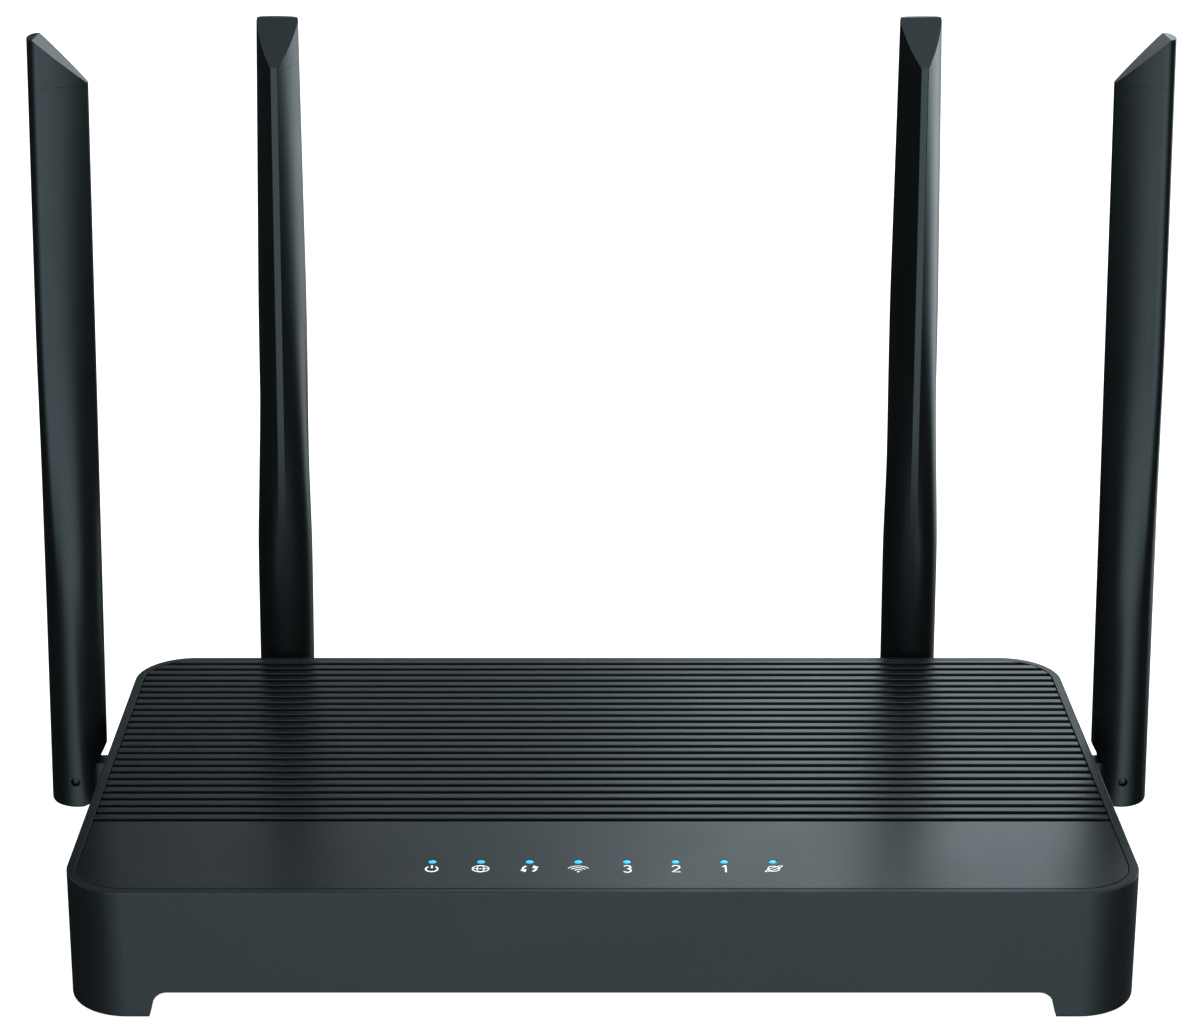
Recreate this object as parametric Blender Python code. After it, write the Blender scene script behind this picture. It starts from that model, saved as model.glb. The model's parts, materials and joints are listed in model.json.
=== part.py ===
"""Four-antenna wireless router, built as its separate pieces.

Metres, +Z up. X runs along the front, -Y is the front, and the origin is the
bottom centre of the whole router's box. The four antennas are one design: each
has a knuckle that swivels in the wall and a pin that the antenna folds about.
"""

import math

import bmesh
import bpy
from mathutils import Euler, Matrix, Vector

GAP = 0.0003  # air between pieces that touch on the real router
PAST = 0.010  # how far a cutter reaches past what it cuts
OVERLAP = 0.001  # how far a fused shape sinks into its neighbour
X_AXIS, Y_AXIS, Z_AXIS = (1, 0, 0), (0, 1, 0), (0, 0, 1)

# Housing
BODY_WIDTH = 0.220
BODY_DEPTH = 0.124
BODY_TOP = 0.0285
CORNER_RADIUS = 0.013
WALL = 0.0024
WALL_FOOT = 0.0005  # lowest point of the walls, just above the table
EDGE_CHAMFER = 0.0007
RIM = 0.0020  # flat rim left around the top cover
COVER_THICK = 0.0024
LEDGE_INSET = 0.0042  # inner edge of the ledge that carries the cover
LEDGE_THICK = 0.0015

# Notch that lifts each wall between its two feet
NOTCH_TOP = 0.0061
FOOT_LENGTH = 0.0174  # at the table
FOOT_DRAFT = 14  # degrees that a foot's end leans back from upright
NOTCH_RADIUS = 0.0030

# Ribbed top: grooves run across the rear part of the cover
RIB_PITCH = BODY_DEPTH / 36
GROOVE_COUNT = 26
FIRST_GROOVE = 1.18 * RIB_PITCH  # from the rear edge
GROOVE_WIDTH = 0.45 * RIB_PITCH
GROOVE_DEPTH = 0.0011

# Status lights, and the clear guide below them
LIGHT_COUNT = 8
LIGHT_PITCH = 0.010
LIGHT_RADIUS = 0.00085
LIGHT_FROM_FRONT = 4.09 * RIB_PITCH
GUIDE_BELOW_COVER = 0.0008
GUIDE_THICK = 0.0016
GUIDE_HALF_DEPTH = 0.0015
GUIDE_PAST_LIGHT = 0.002

# Base plate, its legs, board posts and vents
PLATE_LOW = 0.0065
PLATE_HIGH = 0.0087
LEG_INSET = 0.010  # leg centre from each outer wall
LEG_RADIUS = 0.0060
LEG_LOW = 0.0016
PAD_CHAMFER = 0.0004
BOSS_RADIUS = 0.0055
POST_RADIUS = 0.003
VENTS_PER_SIDE = 7
VENT_PITCH = 0.0085
FIRST_VENT_X = 0.018
VENT_HALF_WIDTH = 0.0012
VENT_FRONT, VENT_REAR = -0.030, 0.022  # from the middle of the case

# Fasteners
SCREW_RADIUS = 0.0012
SCREW_TOP = 0.0159
HEAD_RADIUS = 0.0025
HEAD_LOW, HEAD_HIGH = 0.0040, 0.0056
BOARD_SCREW_RADIUS = 0.0010
BOARD_SCREW_LOW = 0.0079
BOARD_HEAD_RADIUS = 0.0022
BOARD_HEAD_THICK = 0.0014

# Circuit board and its parts: (width, depth, height) and (x, y from the middle of the case)
BOARD_LOW = 0.0105
BOARD_HIGH = 0.0121
BOARD_HALF_WIDTH = 0.093
BOARD_MARGIN_FRONT = 0.008
BOARD_MARGIN_REAR = 0.0030
BOARD_SCREW_INSET = 0.006
BOARD_SCREW_FRONT, BOARD_SCREW_REAR = 0.012, 0.030  # from the board's front and rear edges
PROCESSOR_SIZE, PROCESSOR_PLACE = (0.014, 0.014, 0.0012), (0.010, 0.006)
MEMORY_SIZE, MEMORY_PLACE = (0.013, 0.008, 0.0011), (0.036, 0.006)
SHIELD_SIZE, SHIELD_PLACE = (0.036, 0.028, 0.0022), (-0.046, 0.002)
TRANSFORMER_SIZE, TRANSFORMER_X = (0.028, 0.0105, 0.0060), (-0.022, 0.014)
TRANSFORMER_FROM_REAR = 0.027
SINK_HALF, SINK_HEIGHT, SINK_FLOOR = 0.011, 0.0065, 0.0018
SINK_SLOTS, SINK_PITCH, SINK_SLOT_HALF = 5, 0.004, 0.0012
CAPACITOR_RADIUS, CAPACITOR_TOP, CAPACITOR_CHAMFER = 0.0040, 0.0219, 0.0004
CAPACITOR_FROM_REAR = 0.028

# Antennas, in their own frame: x along the pin, +y away from the wall, origin on the pin
SIDE_PIN_HEIGHT = 0.0158
REAR_PIN_HEIGHT = 0.0116
PIN_FROM_WALL = 0.0098
SIDE_PIN_FROM_FRONT = 0.0865
REAR_PIN_X = 0.0762
LEAN = math.radians(1.1)  # each antenna stands a little towards its wall
REAR_SWAY = math.radians(0.7)  # and the rear ones also towards each other
ANTENNA_ABOVE_PIN = 0.171
ANTENNA_BELOW_PIN = 0.0063
ANTENNA_HALF_DEPTH = 0.00635
BASE_WIDTH = 0.0131
TIP_WIDTH = 0.0096
ROUND_UP_TO = 0.035  # the section is round below this height
FACETED_FROM = 0.110  # and has its ridge and flat flanks above this one
BLEND_HEIGHTS = (0.055, 0.072, 0.090)
TAPER_FROM = 0.045
RIDGE_HALF = 0.0008
BACK_RADIUS = 0.0022
TIP_FLAT = 0.0018  # flat top behind the slanted face
TIP_SLANT_DROP = 0.0097
TIP_SEAM = 0.0004  # from the foot of the slanted face down to the joint
PIN_RADIUS = 0.0010
PIN_HALF_LENGTH = 0.0058
PIN_CHAMFER = 0.0002
TONGUE_RADIUS = 0.0029
TONGUE_HALF_WIDTH = 0.0023
SLOT_ROOM = 0.0005
RELIEF_DEPTH = 0.0022  # how far the foot steps back from the wall
RELIEF_TOP = 0.0072
RELIEF_FULL = 0.0030
SWING_RADIUS = 0.0064  # what the antenna's foot stays inside as it folds
HOLLOW_LOW = (-0.0014, -0.0026, 0.009)
HOLLOW_HIGH = (0.0014, 0.0044)
RADIATOR_LOW = (-0.0004, -0.0019, 0.012)
RADIATOR_HIGH = (0.0004, 0.0037)
RADIATOR_BELOW_TIP = 0.006

# Knuckles
COLLAR_RADIUS, COLLAR_THICK = 0.0062, 0.0009
DISC_RADIUS = 0.0046
DISC_FACE = -0.0067
DISC_CHAMFER = 0.0004
NECK_RADIUS = 0.0036
NECK_END = -0.0148
CLIP_RADIUS = 0.0050
CLIP_THICK = 0.0014
TONGUE_ROOT = 0.0006  # how far the tongue sinks into the disc
LEAD_BORE = 0.0014
LEAD_RADIUS = 0.0007
LEAD_PAST_NECK = 0.002
LEAD_OVER_EDGE = (0.014, 0.002, 0.0018)  # in from the neck's end, along the board and above it
LEAD_ON_TOP = (0.024, 0.008, 0)
RECESS_HALF = 0.0070  # room for each rear knuckle in the board and the base plate
BOARD_RECESS = 0.0130
PLATE_RECESS = 0.0065

# Rear panel
JACK_WIDTH, JACK_HEIGHT, JACK_DEPTH = 0.0160, 0.0132, 0.0160
JACK_PITCH = 0.0180
FIRST_JACK_X = 0.0230
JACK_NAMES = ("wan_jack", "lan_jack_1", "lan_jack_2", "lan_jack_3")
MOUTH_HALF, MOUTH_LOW, MOUTH_HIGH = 0.0060, 0.0042, 0.0116
LATCH_HALF, LATCH_LOW, LATCH_HIGH = 0.0032, 0.0014, 0.0052
JACK_BACK = 0.0025
INLET_X = 0.0420
INLET_HALF, INLET_HEIGHT, INLET_DEPTH = 0.0045, 0.0110, 0.0140
INLET_BORE, INLET_BORE_DEPTH = 0.0032, 0.0105
CONTACT_RADIUS, CONTACT_BACK, CONTACT_FRONT = 0.0010, 0.0120, 0.0010
BUTTON_Z = 0.0184
BUTTON_PROUD = 0.0022
BUTTON_CHAMFER = 0.0004
FLANGE_THICK, FLANGE_LIP = 0.0012, 0.0008
STEM_END = 0.0075  # inner end of each button's stem, from the rear wall's outer face
BUTTONS = {  # place along x, cap radius, travel, and the switch's width, depth and height above the axis
    "power_button": (0.0560, 0.0034, 0.0020, (0.008, 0.010, 0.004)),
    "wps_button": (-0.0490, 0.0022, 0.0010, (0.006, 0.0045, 0.003)),
}

# Worked out from the dimensions above
ANTENNA_REACH = ANTENNA_HALF_DEPTH * math.cos(LEAN) + ANTENNA_BELOW_PIN * math.sin(LEAN)
ANTENNA_OUTER = PIN_FROM_WALL + ANTENNA_REACH
FRONT = -(BODY_DEPTH + ANTENNA_OUTER) / 2
REAR = FRONT + BODY_DEPTH
MIDDLE = (FRONT + REAR) / 2
HALF_WIDTH = BODY_WIDTH / 2
HALF_DEPTH = BODY_DEPTH / 2
COVER_LOW = BODY_TOP - COVER_THICK
LEDGE_TOP = COVER_LOW - GAP
LEDGE_LOW = LEDGE_TOP - LEDGE_THICK
LIGHT_Y = FRONT + LIGHT_FROM_FRONT
BOARD_FRONT = FRONT + BOARD_MARGIN_FRONT
BOARD_REAR = REAR - BOARD_MARGIN_REAR
ON_BOARD = BOARD_HIGH + GAP
TIP_JOINT = ANTENNA_ABOVE_PIN - TIP_SLANT_DROP - TIP_SEAM - GAP
JACK_FACE = REAR - GAP
CORNER_NAMES = ("front_left", "rear_left", "front_right", "rear_right")
LEG_PLACES = [
    (sx * (HALF_WIDTH - LEG_INSET), MIDDLE + sy * (HALF_DEPTH - LEG_INSET))
    for sx in (-1, 1)
    for sy in (-1, 1)
]
BOARD_SCREW_PLACES = [
    (sx * (BOARD_HALF_WIDTH - BOARD_SCREW_INSET), y)
    for y in (BOARD_FRONT + BOARD_SCREW_FRONT, BOARD_REAR - BOARD_SCREW_REAR)
    for sx in (-1, 1)
]
LIGHT_PLACES = [
    (LIGHT_PITCH * (i - (LIGHT_COUNT - 1) / 2), LIGHT_Y)
    for i in range(LIGHT_COUNT)
]

# Base colour, roughness and metallic value of each material
COLOURS = {
    "black_plastic": ((0.018, 0.020, 0.021), 0.42, 0.0),
    "ribbed_plastic": ((0.020, 0.022, 0.023), 0.35, 0.0),
    "rubber": ((0.012, 0.012, 0.012), 0.85, 0.0),
    "light_guide": ((0.10, 0.55, 0.80), 0.20, 0.0),
    "circuit_board": ((0.02, 0.16, 0.07), 0.45, 0.0),
    "steel": ((0.62, 0.62, 0.60), 0.28, 1.0),
    "aluminium": ((0.70, 0.71, 0.72), 0.35, 1.0),
    "chip_black": ((0.03, 0.03, 0.03), 0.50, 0.0),
    "jack_plastic": ((0.03, 0.03, 0.03), 0.40, 0.0),
    "button_plastic": ((0.05, 0.05, 0.05), 0.40, 0.0),
    "copper": ((0.72, 0.38, 0.20), 0.30, 1.0),
    "lead_grey": ((0.25, 0.25, 0.25), 0.55, 0.0),
}


def clear_scene():
    for obj in list(bpy.data.objects):
        bpy.data.objects.remove(obj)


def material(name):
    found = bpy.data.materials.get(name)
    if found:
        return found
    colour, roughness, metallic = COLOURS[name]
    made = bpy.data.materials.new(name)
    made.use_nodes = True
    shader = made.node_tree.nodes["Principled BSDF"]
    shader.inputs["Base Color"].default_value = (*colour, 1)
    shader.inputs["Roughness"].default_value = roughness
    shader.inputs["Metallic"].default_value = metallic
    return made


# Meshes


def mesh_of(bm):
    """Ends a bmesh: faces turned outwards, and round surfaces shaded smooth."""
    bmesh.ops.recalc_face_normals(bm, faces=bm.faces)
    mesh = bpy.data.meshes.new("shape")
    bm.to_mesh(mesh)
    bm.free()
    mesh.shade_smooth()
    mesh.set_sharp_from_angle(angle=math.radians(35))
    return mesh


def solid_of_rings(rings, looped=False):
    """Joins rings of equally many points, one to the next, and in a looped solid the last to the first."""
    bm = bmesh.new()
    made = [[bm.verts.new(point) for point in ring] for ring in rings]
    pairs = list(zip(made, made[1:]))
    if looped:
        pairs.append((made[-1], made[0]))
    else:
        bm.faces.new(made[0])
        bm.faces.new(made[-1])
    for lower, upper in pairs:
        for i in range(len(lower)):
            j = (i + 1) % len(lower)
            bm.faces.new((lower[i], lower[j], upper[j], upper[i]))
    return mesh_of(bm)


def prism(outline, low, high):
    return solid_of_rings([[(x, y, z) for x, y in outline] for z in (low, high)])


def box(low, high):
    outline = [(low[0], low[1]), (high[0], low[1]), (high[0], high[1]), (low[0], high[1])]
    return prism(outline, low[2], high[2])


def extruded_x(profile, half):
    """A profile in y and z, extruded along x."""
    return solid_of_rings([[(x, y, z) for y, z in profile] for x in (-half, half)])


def arc(centre, radius, first, last, steps):
    """Points on a circle from one angle to another, in degrees."""
    points = []
    for step in range(steps + 1):
        angle = math.radians(first + (last - first) * step / steps)
        points.append((centre[0] + radius * math.cos(angle), centre[1] + radius * math.sin(angle)))
    return points


def rounded_rectangle(half_x, half_y, radius, steps=6):
    """A rectangle's outline about the origin, anticlockwise, with round corners."""
    points = []
    for quarter, (sx, sy) in enumerate(((1, 1), (-1, 1), (-1, -1), (1, -1))):
        centre = (sx * (half_x - radius), sy * (half_y - radius))
        points += arc(centre, radius, 90 * quarter, 90 * quarter + 90, steps)
    return points


def body_outline(inset):
    """The case's outline, drawn in by the inset all round."""
    outline = rounded_rectangle(HALF_WIDTH - inset, HALF_DEPTH - inset, CORNER_RADIUS - inset)
    return [(x, y + MIDDLE) for x, y in outline]


def turned(profile, axis=Z_AXIS, steps=16, place=(0, 0, 0)):
    """A turned solid: profile is (radius, height) from one end to the other along the axis."""
    turn = Vector(Z_AXIS).rotation_difference(Vector(axis))
    rings = []
    for radius, height in profile:
        ring = []
        for step in range(steps):
            angle = math.tau * (step + 0.5) / steps
            point = Vector((radius * math.cos(angle), radius * math.sin(angle), height))
            ring.append(turn @ point + Vector(place))
        rings.append(ring)
    return solid_of_rings(rings)


def rods(radius, low, high, places, steps=12):
    """Upright rods or holes of one size at several places, as one mesh."""
    return joined([turned([(radius, low), (radius, high)], steps=steps, place=(x, y, 0)) for x, y in places])


def joined(meshes):
    """One mesh of several separate shapes, for a cutter or for a union."""
    bm = bmesh.new()
    for mesh in meshes:
        bm.from_mesh(mesh)
    return mesh_of(bm)


# Objects


def add(name, shape, finish, parent=None, place=(0, 0, 0)):
    obj = bpy.data.objects.new(name, shape)
    bpy.context.scene.collection.objects.link(obj)
    obj.location = place
    obj.parent = parent
    shape.materials.clear()
    shape.materials.append(material(finish))
    return obj


def combine(obj, mesh, operation):
    """Cuts or adds a hidden helper shape, given in the object's own frame."""
    helper = bpy.data.objects.new(obj.name + "_" + operation.lower(), mesh)
    bpy.context.scene.collection.objects.link(helper)
    helper.parent = obj
    helper.hide_render = True
    helper.display_type = "WIRE"
    modifier = obj.modifiers.new(operation.lower(), "BOOLEAN")
    modifier.operation = operation
    modifier.object = helper
    modifier.solver = "EXACT"


def cut(obj, mesh):
    combine(obj, mesh, "DIFFERENCE")


def fuse(obj, mesh):
    combine(obj, mesh, "UNION")


# Housing


def notch_outline(half_length):
    """The gap under a wall, seen square on: leaning sides and rounded upper corners."""
    corner = arc((0, NOTCH_TOP - NOTCH_RADIUS), NOTCH_RADIUS, FOOT_DRAFT, 90, 4)
    slope = math.tan(math.radians(FOOT_DRAFT))
    shift = half_length - slope * corner[0][1] - corner[0][0]
    right = [(half_length + slope * PAST, -PAST)] + [(x + shift, z) for x, z in corner]
    return right + [(-x, z) for x, z in reversed(right)]


def notches():
    """Through the front and rear walls, and through both side walls."""
    reach = HALF_WIDTH + PAST
    along_x = notch_outline(HALF_WIDTH - FOOT_LENGTH)
    along_y = notch_outline(HALF_DEPTH - FOOT_LENGTH)
    front_to_rear = [[(x, y, z) for x, z in along_x] for y in (FRONT - PAST, REAR + PAST)]
    side_to_side = [[(x, MIDDLE + y, z) for y, z in along_y] for x in (-reach, reach)]
    return solid_of_rings(front_to_rear), solid_of_rings(side_to_side)


def jack_places():
    return [FIRST_JACK_X - JACK_PITCH * i for i in range(len(JACK_NAMES))]


def rear_cutouts():
    """Openings in the rear wall for the sockets and buttons."""
    low, high = REAR - 2 * WALL, REAR + PAST
    sockets = [(x, JACK_WIDTH / 2, JACK_HEIGHT) for x in jack_places()]
    sockets.append((INLET_X, INLET_HALF, INLET_HEIGHT))
    shapes = []
    for x, half, height in sockets:
        half += GAP
        shapes.append(box((x - half, low, ON_BOARD - GAP), (x + half, high, ON_BOARD + height + GAP)))
    for x, radius, _, _ in BUTTONS.values():
        hole = [(radius + GAP, low), (radius + GAP, high)]
        shapes.append(turned(hole, Y_AXIS, place=(x, 0, BUTTON_Z)))
    return shapes


def knuckle_holes():
    shapes = []
    for _, pin, _, heading in antenna_places():
        hole = turned([(NECK_RADIUS + GAP, -PIN_FROM_WALL - 2 * WALL), (NECK_RADIUS + GAP, 0)], Y_AXIS)
        hole.transform(Matrix.Translation(pin) @ Matrix.Rotation(heading, 4, "Z"))
        shapes.append(hole)
    return shapes


def add_housing():
    """Walls, rim and cover ledge in one ring, with corner bosses for the case screws."""
    profile = [
        (EDGE_CHAMFER / 2, WALL_FOOT),
        (0, WALL_FOOT + EDGE_CHAMFER / 2),
        (0, BODY_TOP - EDGE_CHAMFER),
        (EDGE_CHAMFER, BODY_TOP),
        (RIM, BODY_TOP),
        (RIM, LEDGE_TOP),
        (LEDGE_INSET, LEDGE_TOP),
        (LEDGE_INSET, LEDGE_LOW),
        (WALL, LEDGE_LOW),
        (WALL, WALL_FOOT),
    ]
    rings = [[(x, y, z) for x, y in body_outline(inset)] for inset, z in profile]
    housing = add("upper_housing", solid_of_rings(rings, looped=True), "black_plastic")
    boss_top = (LEDGE_LOW + LEDGE_TOP) / 2
    fuse(housing, rods(BOSS_RADIUS, PLATE_HIGH + GAP, boss_top, LEG_PLACES, steps=16))
    screw_holes = rods(SCREW_RADIUS + GAP, PLATE_HIGH - OVERLAP, SCREW_TOP + GAP, LEG_PLACES)
    for notch in notches():
        cut(housing, notch)
    cut(housing, joined(rear_cutouts() + knuckle_holes() + [screw_holes]))


def add_top_cover():
    """Inset panel: smooth along the front, grooved behind, with a hole over each status light."""
    cover = add("top_cover", prism(body_outline(RIM + GAP), COVER_LOW, BODY_TOP), "ribbed_plastic")
    grooves = []
    for i in range(GROOVE_COUNT):
        y = REAR - FIRST_GROOVE - i * RIB_PITCH
        low = (-HALF_WIDTH, y - GROOVE_WIDTH / 2, BODY_TOP - GROOVE_DEPTH)
        high = (HALF_WIDTH, y + GROOVE_WIDTH / 2, BODY_TOP + PAST)
        grooves.append(box(low, high))
    cut(cover, joined(grooves))
    cut(cover, rods(LIGHT_RADIUS + GAP, COVER_LOW - PAST, BODY_TOP + PAST, LIGHT_PLACES))


def add_light_guide():
    """One clear moulding: a bar under the cover with a rod up to each status light."""
    half = LIGHT_PITCH * (LIGHT_COUNT - 1) / 2 + GUIDE_PAST_LIGHT
    high = COVER_LOW - GUIDE_BELOW_COVER
    low = high - GUIDE_THICK
    bar = box((-half, LIGHT_Y - GUIDE_HALF_DEPTH, low), (half, LIGHT_Y + GUIDE_HALF_DEPTH, high))
    guide = add("light_guide", bar, "light_guide")
    fuse(guide, rods(LIGHT_RADIUS, (low + high) / 2, BODY_TOP, LIGHT_PLACES))


# Base plate, fasteners and feet


def rear_recesses(depth):
    """Room for the rear knuckles in a plate that would otherwise reach the rear wall."""
    shapes = []
    for x in (-REAR_PIN_X, REAR_PIN_X):
        low = (x - RECESS_HALF, REAR - depth, 0)
        shapes.append(box(low, (x + RECESS_HALF, REAR, BODY_TOP)))
    return shapes


def vent_slots():
    shapes = []
    for side in (-1, 1):
        for i in range(VENTS_PER_SIDE):
            x = side * (FIRST_VENT_X + VENT_PITCH * i)
            low = (x - VENT_HALF_WIDTH, MIDDLE + VENT_FRONT, 0)
            shapes.append(box(low, (x + VENT_HALF_WIDTH, MIDDLE + VENT_REAR, BODY_TOP)))
    return shapes


def add_base_plate():
    """Floor of the case: four legs for the rubber pads, board posts and two fields of vents."""
    plate = add("base_plate", prism(body_outline(WALL + GAP), PLATE_LOW, PLATE_HIGH), "black_plastic")
    legs = rods(LEG_RADIUS, LEG_LOW, (PLATE_LOW + PLATE_HIGH) / 2, LEG_PLACES, steps=16)
    posts = rods(POST_RADIUS, PLATE_HIGH - OVERLAP, BOARD_LOW - GAP, BOARD_SCREW_PLACES)
    fuse(plate, joined([legs, posts]))
    cut(plate, rods(HEAD_RADIUS + GAP, -PAST, HEAD_HIGH + GAP, LEG_PLACES))
    clearance = rods(SCREW_RADIUS + GAP, -PAST, BODY_TOP, LEG_PLACES)
    pilots = rods(BOARD_SCREW_RADIUS + GAP, -PAST, BODY_TOP, BOARD_SCREW_PLACES, steps=8)
    cut(plate, joined([clearance, pilots]))
    cut(plate, joined(vent_slots() + rear_recesses(PLATE_RECESS)))


def add_fasteners_and_feet():
    case_screw = [
        (HEAD_RADIUS, HEAD_LOW),
        (HEAD_RADIUS, HEAD_HIGH),
        (SCREW_RADIUS, HEAD_HIGH),
        (SCREW_RADIUS, SCREW_TOP),
    ]
    pad = [(LEG_RADIUS - PAD_CHAMFER, 0), (LEG_RADIUS, PAD_CHAMFER), (LEG_RADIUS, LEG_LOW - GAP)]
    for corner, (x, y) in zip(CORNER_NAMES, LEG_PLACES):
        add("case_screw_" + corner, turned(case_screw, steps=12), "steel", place=(x, y, 0))
        add("rubber_foot_" + corner, turned(pad), "rubber", place=(x, y, 0))
    board_screw = [
        (BOARD_SCREW_RADIUS, BOARD_SCREW_LOW),
        (BOARD_SCREW_RADIUS, ON_BOARD),
        (BOARD_HEAD_RADIUS, ON_BOARD),
        (BOARD_HEAD_RADIUS, ON_BOARD + BOARD_HEAD_THICK),
    ]
    for number, (x, y) in enumerate(BOARD_SCREW_PLACES, 1):
        add(f"board_screw_{number}", turned(board_screw, steps=12), "steel", place=(x, y, 0))


# Circuit board and what stands on it


def add_board():
    low = (-BOARD_HALF_WIDTH, BOARD_FRONT, BOARD_LOW)
    high = (BOARD_HALF_WIDTH, BOARD_REAR, BOARD_HIGH)
    board = add("main_board", box(low, high), "circuit_board")
    holes = rods(BOARD_SCREW_RADIUS + GAP, 0, BODY_TOP, BOARD_SCREW_PLACES, steps=8)
    cut(board, joined([holes] + rear_recesses(BOARD_RECESS)))


def on_board(name, place, size, finish):
    """A rectangular component standing on the board."""
    x, y = place
    low = (x - size[0] / 2, y - size[1] / 2, ON_BOARD)
    return add(name, box(low, (x + size[0] / 2, y + size[1] / 2, ON_BOARD + size[2])), finish)


def add_heat_sink():
    """Finned block on the processor."""
    x, y = PROCESSOR_PLACE[0], MIDDLE + PROCESSOR_PLACE[1]
    low = ON_BOARD + PROCESSOR_SIZE[2] + GAP
    block = box((x - SINK_HALF, y - SINK_HALF, low), (x + SINK_HALF, y + SINK_HALF, low + SINK_HEIGHT))
    sink = add("heat_sink", block, "aluminium")
    slots = []
    for i in range(SINK_SLOTS):
        at = x + (i - (SINK_SLOTS - 1) / 2) * SINK_PITCH
        corner = (at - SINK_SLOT_HALF, y - SINK_HALF - PAST, low + SINK_FLOOR)
        slots.append(box(corner, (at + SINK_SLOT_HALF, y + SINK_HALF + PAST, low + PAST)))
    cut(sink, joined(slots))


def add_components():
    parts = {
        "processor": (PROCESSOR_PLACE, PROCESSOR_SIZE, "chip_black"),
        "memory_chip": (MEMORY_PLACE, MEMORY_SIZE, "chip_black"),
        "wifi_shield": (SHIELD_PLACE, SHIELD_SIZE, "steel"),
    }
    for name, ((x, y), size, finish) in parts.items():
        on_board(name, (x, MIDDLE + y), size, finish)
    for number, x in enumerate(TRANSFORMER_X, 1):
        place = (x, REAR - TRANSFORMER_FROM_REAR)
        on_board(f"network_transformer_{number}", place, TRANSFORMER_SIZE, "chip_black")
    add_heat_sink()
    can = [
        (CAPACITOR_RADIUS - CAPACITOR_CHAMFER, ON_BOARD),
        (CAPACITOR_RADIUS, ON_BOARD + CAPACITOR_CHAMFER),
        (CAPACITOR_RADIUS, CAPACITOR_TOP - CAPACITOR_CHAMFER),
        (CAPACITOR_RADIUS - CAPACITOR_CHAMFER, CAPACITOR_TOP),
    ]
    add("filter_capacitor", turned(can), "aluminium", place=(INLET_X, REAR - CAPACITOR_FROM_REAR, 0))


# Rear panel


def add_network_jacks():
    """Four 8-pole sockets. Each mouth has the plug's rectangle and the latch's step below it."""
    back = JACK_FACE - JACK_DEPTH
    for name, x in zip(JACK_NAMES, jack_places()):
        half = JACK_WIDTH / 2
        shape = box((x - half, back, ON_BOARD), (x + half, JACK_FACE, ON_BOARD + JACK_HEIGHT))
        jack = add(name, shape, "jack_plastic")
        for half, low, high in ((MOUTH_HALF, MOUTH_LOW, MOUTH_HIGH), (LATCH_HALF, LATCH_LOW, LATCH_HIGH)):
            corner = (x - half, back + JACK_BACK, ON_BOARD + low)
            cut(jack, box(corner, (x + half, REAR + PAST, ON_BOARD + high)))


def add_power_inlet():
    """Round inlet for the adapter's plug, with its centre contact."""
    low = (INLET_X - INLET_HALF, JACK_FACE - INLET_DEPTH, ON_BOARD)
    high = (INLET_X + INLET_HALF, JACK_FACE, ON_BOARD + INLET_HEIGHT)
    inlet = add("power_inlet", box(low, high), "jack_plastic")
    axis_place = (INLET_X, 0, ON_BOARD + INLET_HEIGHT / 2)
    bore = [(INLET_BORE, JACK_FACE - INLET_BORE_DEPTH), (INLET_BORE, REAR + PAST)]
    cut(inlet, turned(bore, Y_AXIS, 20, axis_place))
    contact = [(CONTACT_RADIUS, JACK_FACE - CONTACT_BACK), (CONTACT_RADIUS, JACK_FACE - CONTACT_FRONT)]
    fuse(inlet, turned(contact, Y_AXIS, 10, axis_place))


def add_button(name, x, radius, travel, switch_size):
    """A push cap held in the rear wall by its flange, and the switch on the board that it presses."""
    inner = REAR - WALL - GAP
    stem_end = REAR - STEM_END
    face = REAR + BUTTON_PROUD
    profile = [
        (radius / 2, stem_end),
        (radius / 2, inner - FLANGE_THICK),
        (radius + FLANGE_LIP, inner - FLANGE_THICK),
        (radius + FLANGE_LIP, inner),
        (radius, inner),
        (radius, face - BUTTON_CHAMFER),
        (radius - BUTTON_CHAMFER, face),
    ]
    add(name, turned(profile, Y_AXIS), "button_plastic", place=(x, 0, BUTTON_Z))
    width, depth, above = switch_size
    rear = stem_end - travel - GAP
    low = (x - width / 2, rear - depth, ON_BOARD)
    add(name.replace("button", "switch"), box(low, (x + width / 2, rear, BUTTON_Z + above)), "chip_black")


# Antennas


def antenna_places():
    """Name, pin centre, lean and sway of the upright antenna, and heading of its wall's outward normal."""
    side_x, side_y = HALF_WIDTH + PIN_FROM_WALL, FRONT + SIDE_PIN_FROM_FRONT
    rear_y = REAR + PIN_FROM_WALL
    side_turn, quarter = (LEAN, 0), math.pi / 2
    return [
        ("left", Vector((-side_x, side_y, SIDE_PIN_HEIGHT)), side_turn, quarter),
        ("right", Vector((side_x, side_y, SIDE_PIN_HEIGHT)), side_turn, -quarter),
        ("rear_left", Vector((-REAR_PIN_X, rear_y, REAR_PIN_HEIGHT)), (LEAN, REAR_SWAY), 0),
        ("rear_right", Vector((REAR_PIN_X, rear_y, REAR_PIN_HEIGHT)), (LEAN, -REAR_SWAY), 0),
    ]


def antenna_width(z):
    along = max(0.0, (z - TAPER_FROM) / (ANTENNA_ABOVE_PIN - TAPER_FROM))
    return BASE_WIDTH + (TIP_WIDTH - BASE_WIDTH) * along


def half_section(width):
    """Right half of the faceted section, from the ridge (-y) round to the middle of the back (+y)."""
    centre = (width / 2 - BACK_RADIUS, ANTENNA_HALF_DEPTH - BACK_RADIUS)
    flank = math.atan2(centre[1] + ANTENNA_HALF_DEPTH, width / 2 - RIDGE_HALF)
    corner = arc(centre, BACK_RADIUS, math.degrees(flank) - 90, 90, 3)
    ridge = Vector((RIDGE_HALF, -ANTENNA_HALF_DEPTH))
    straight = [tuple(ridge.lerp(Vector(corner[0]), step / 4)) for step in range(4)]
    return [(0, -ANTENNA_HALF_DEPTH)] + straight + corner + [(0, ANTENNA_HALF_DEPTH)]


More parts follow.
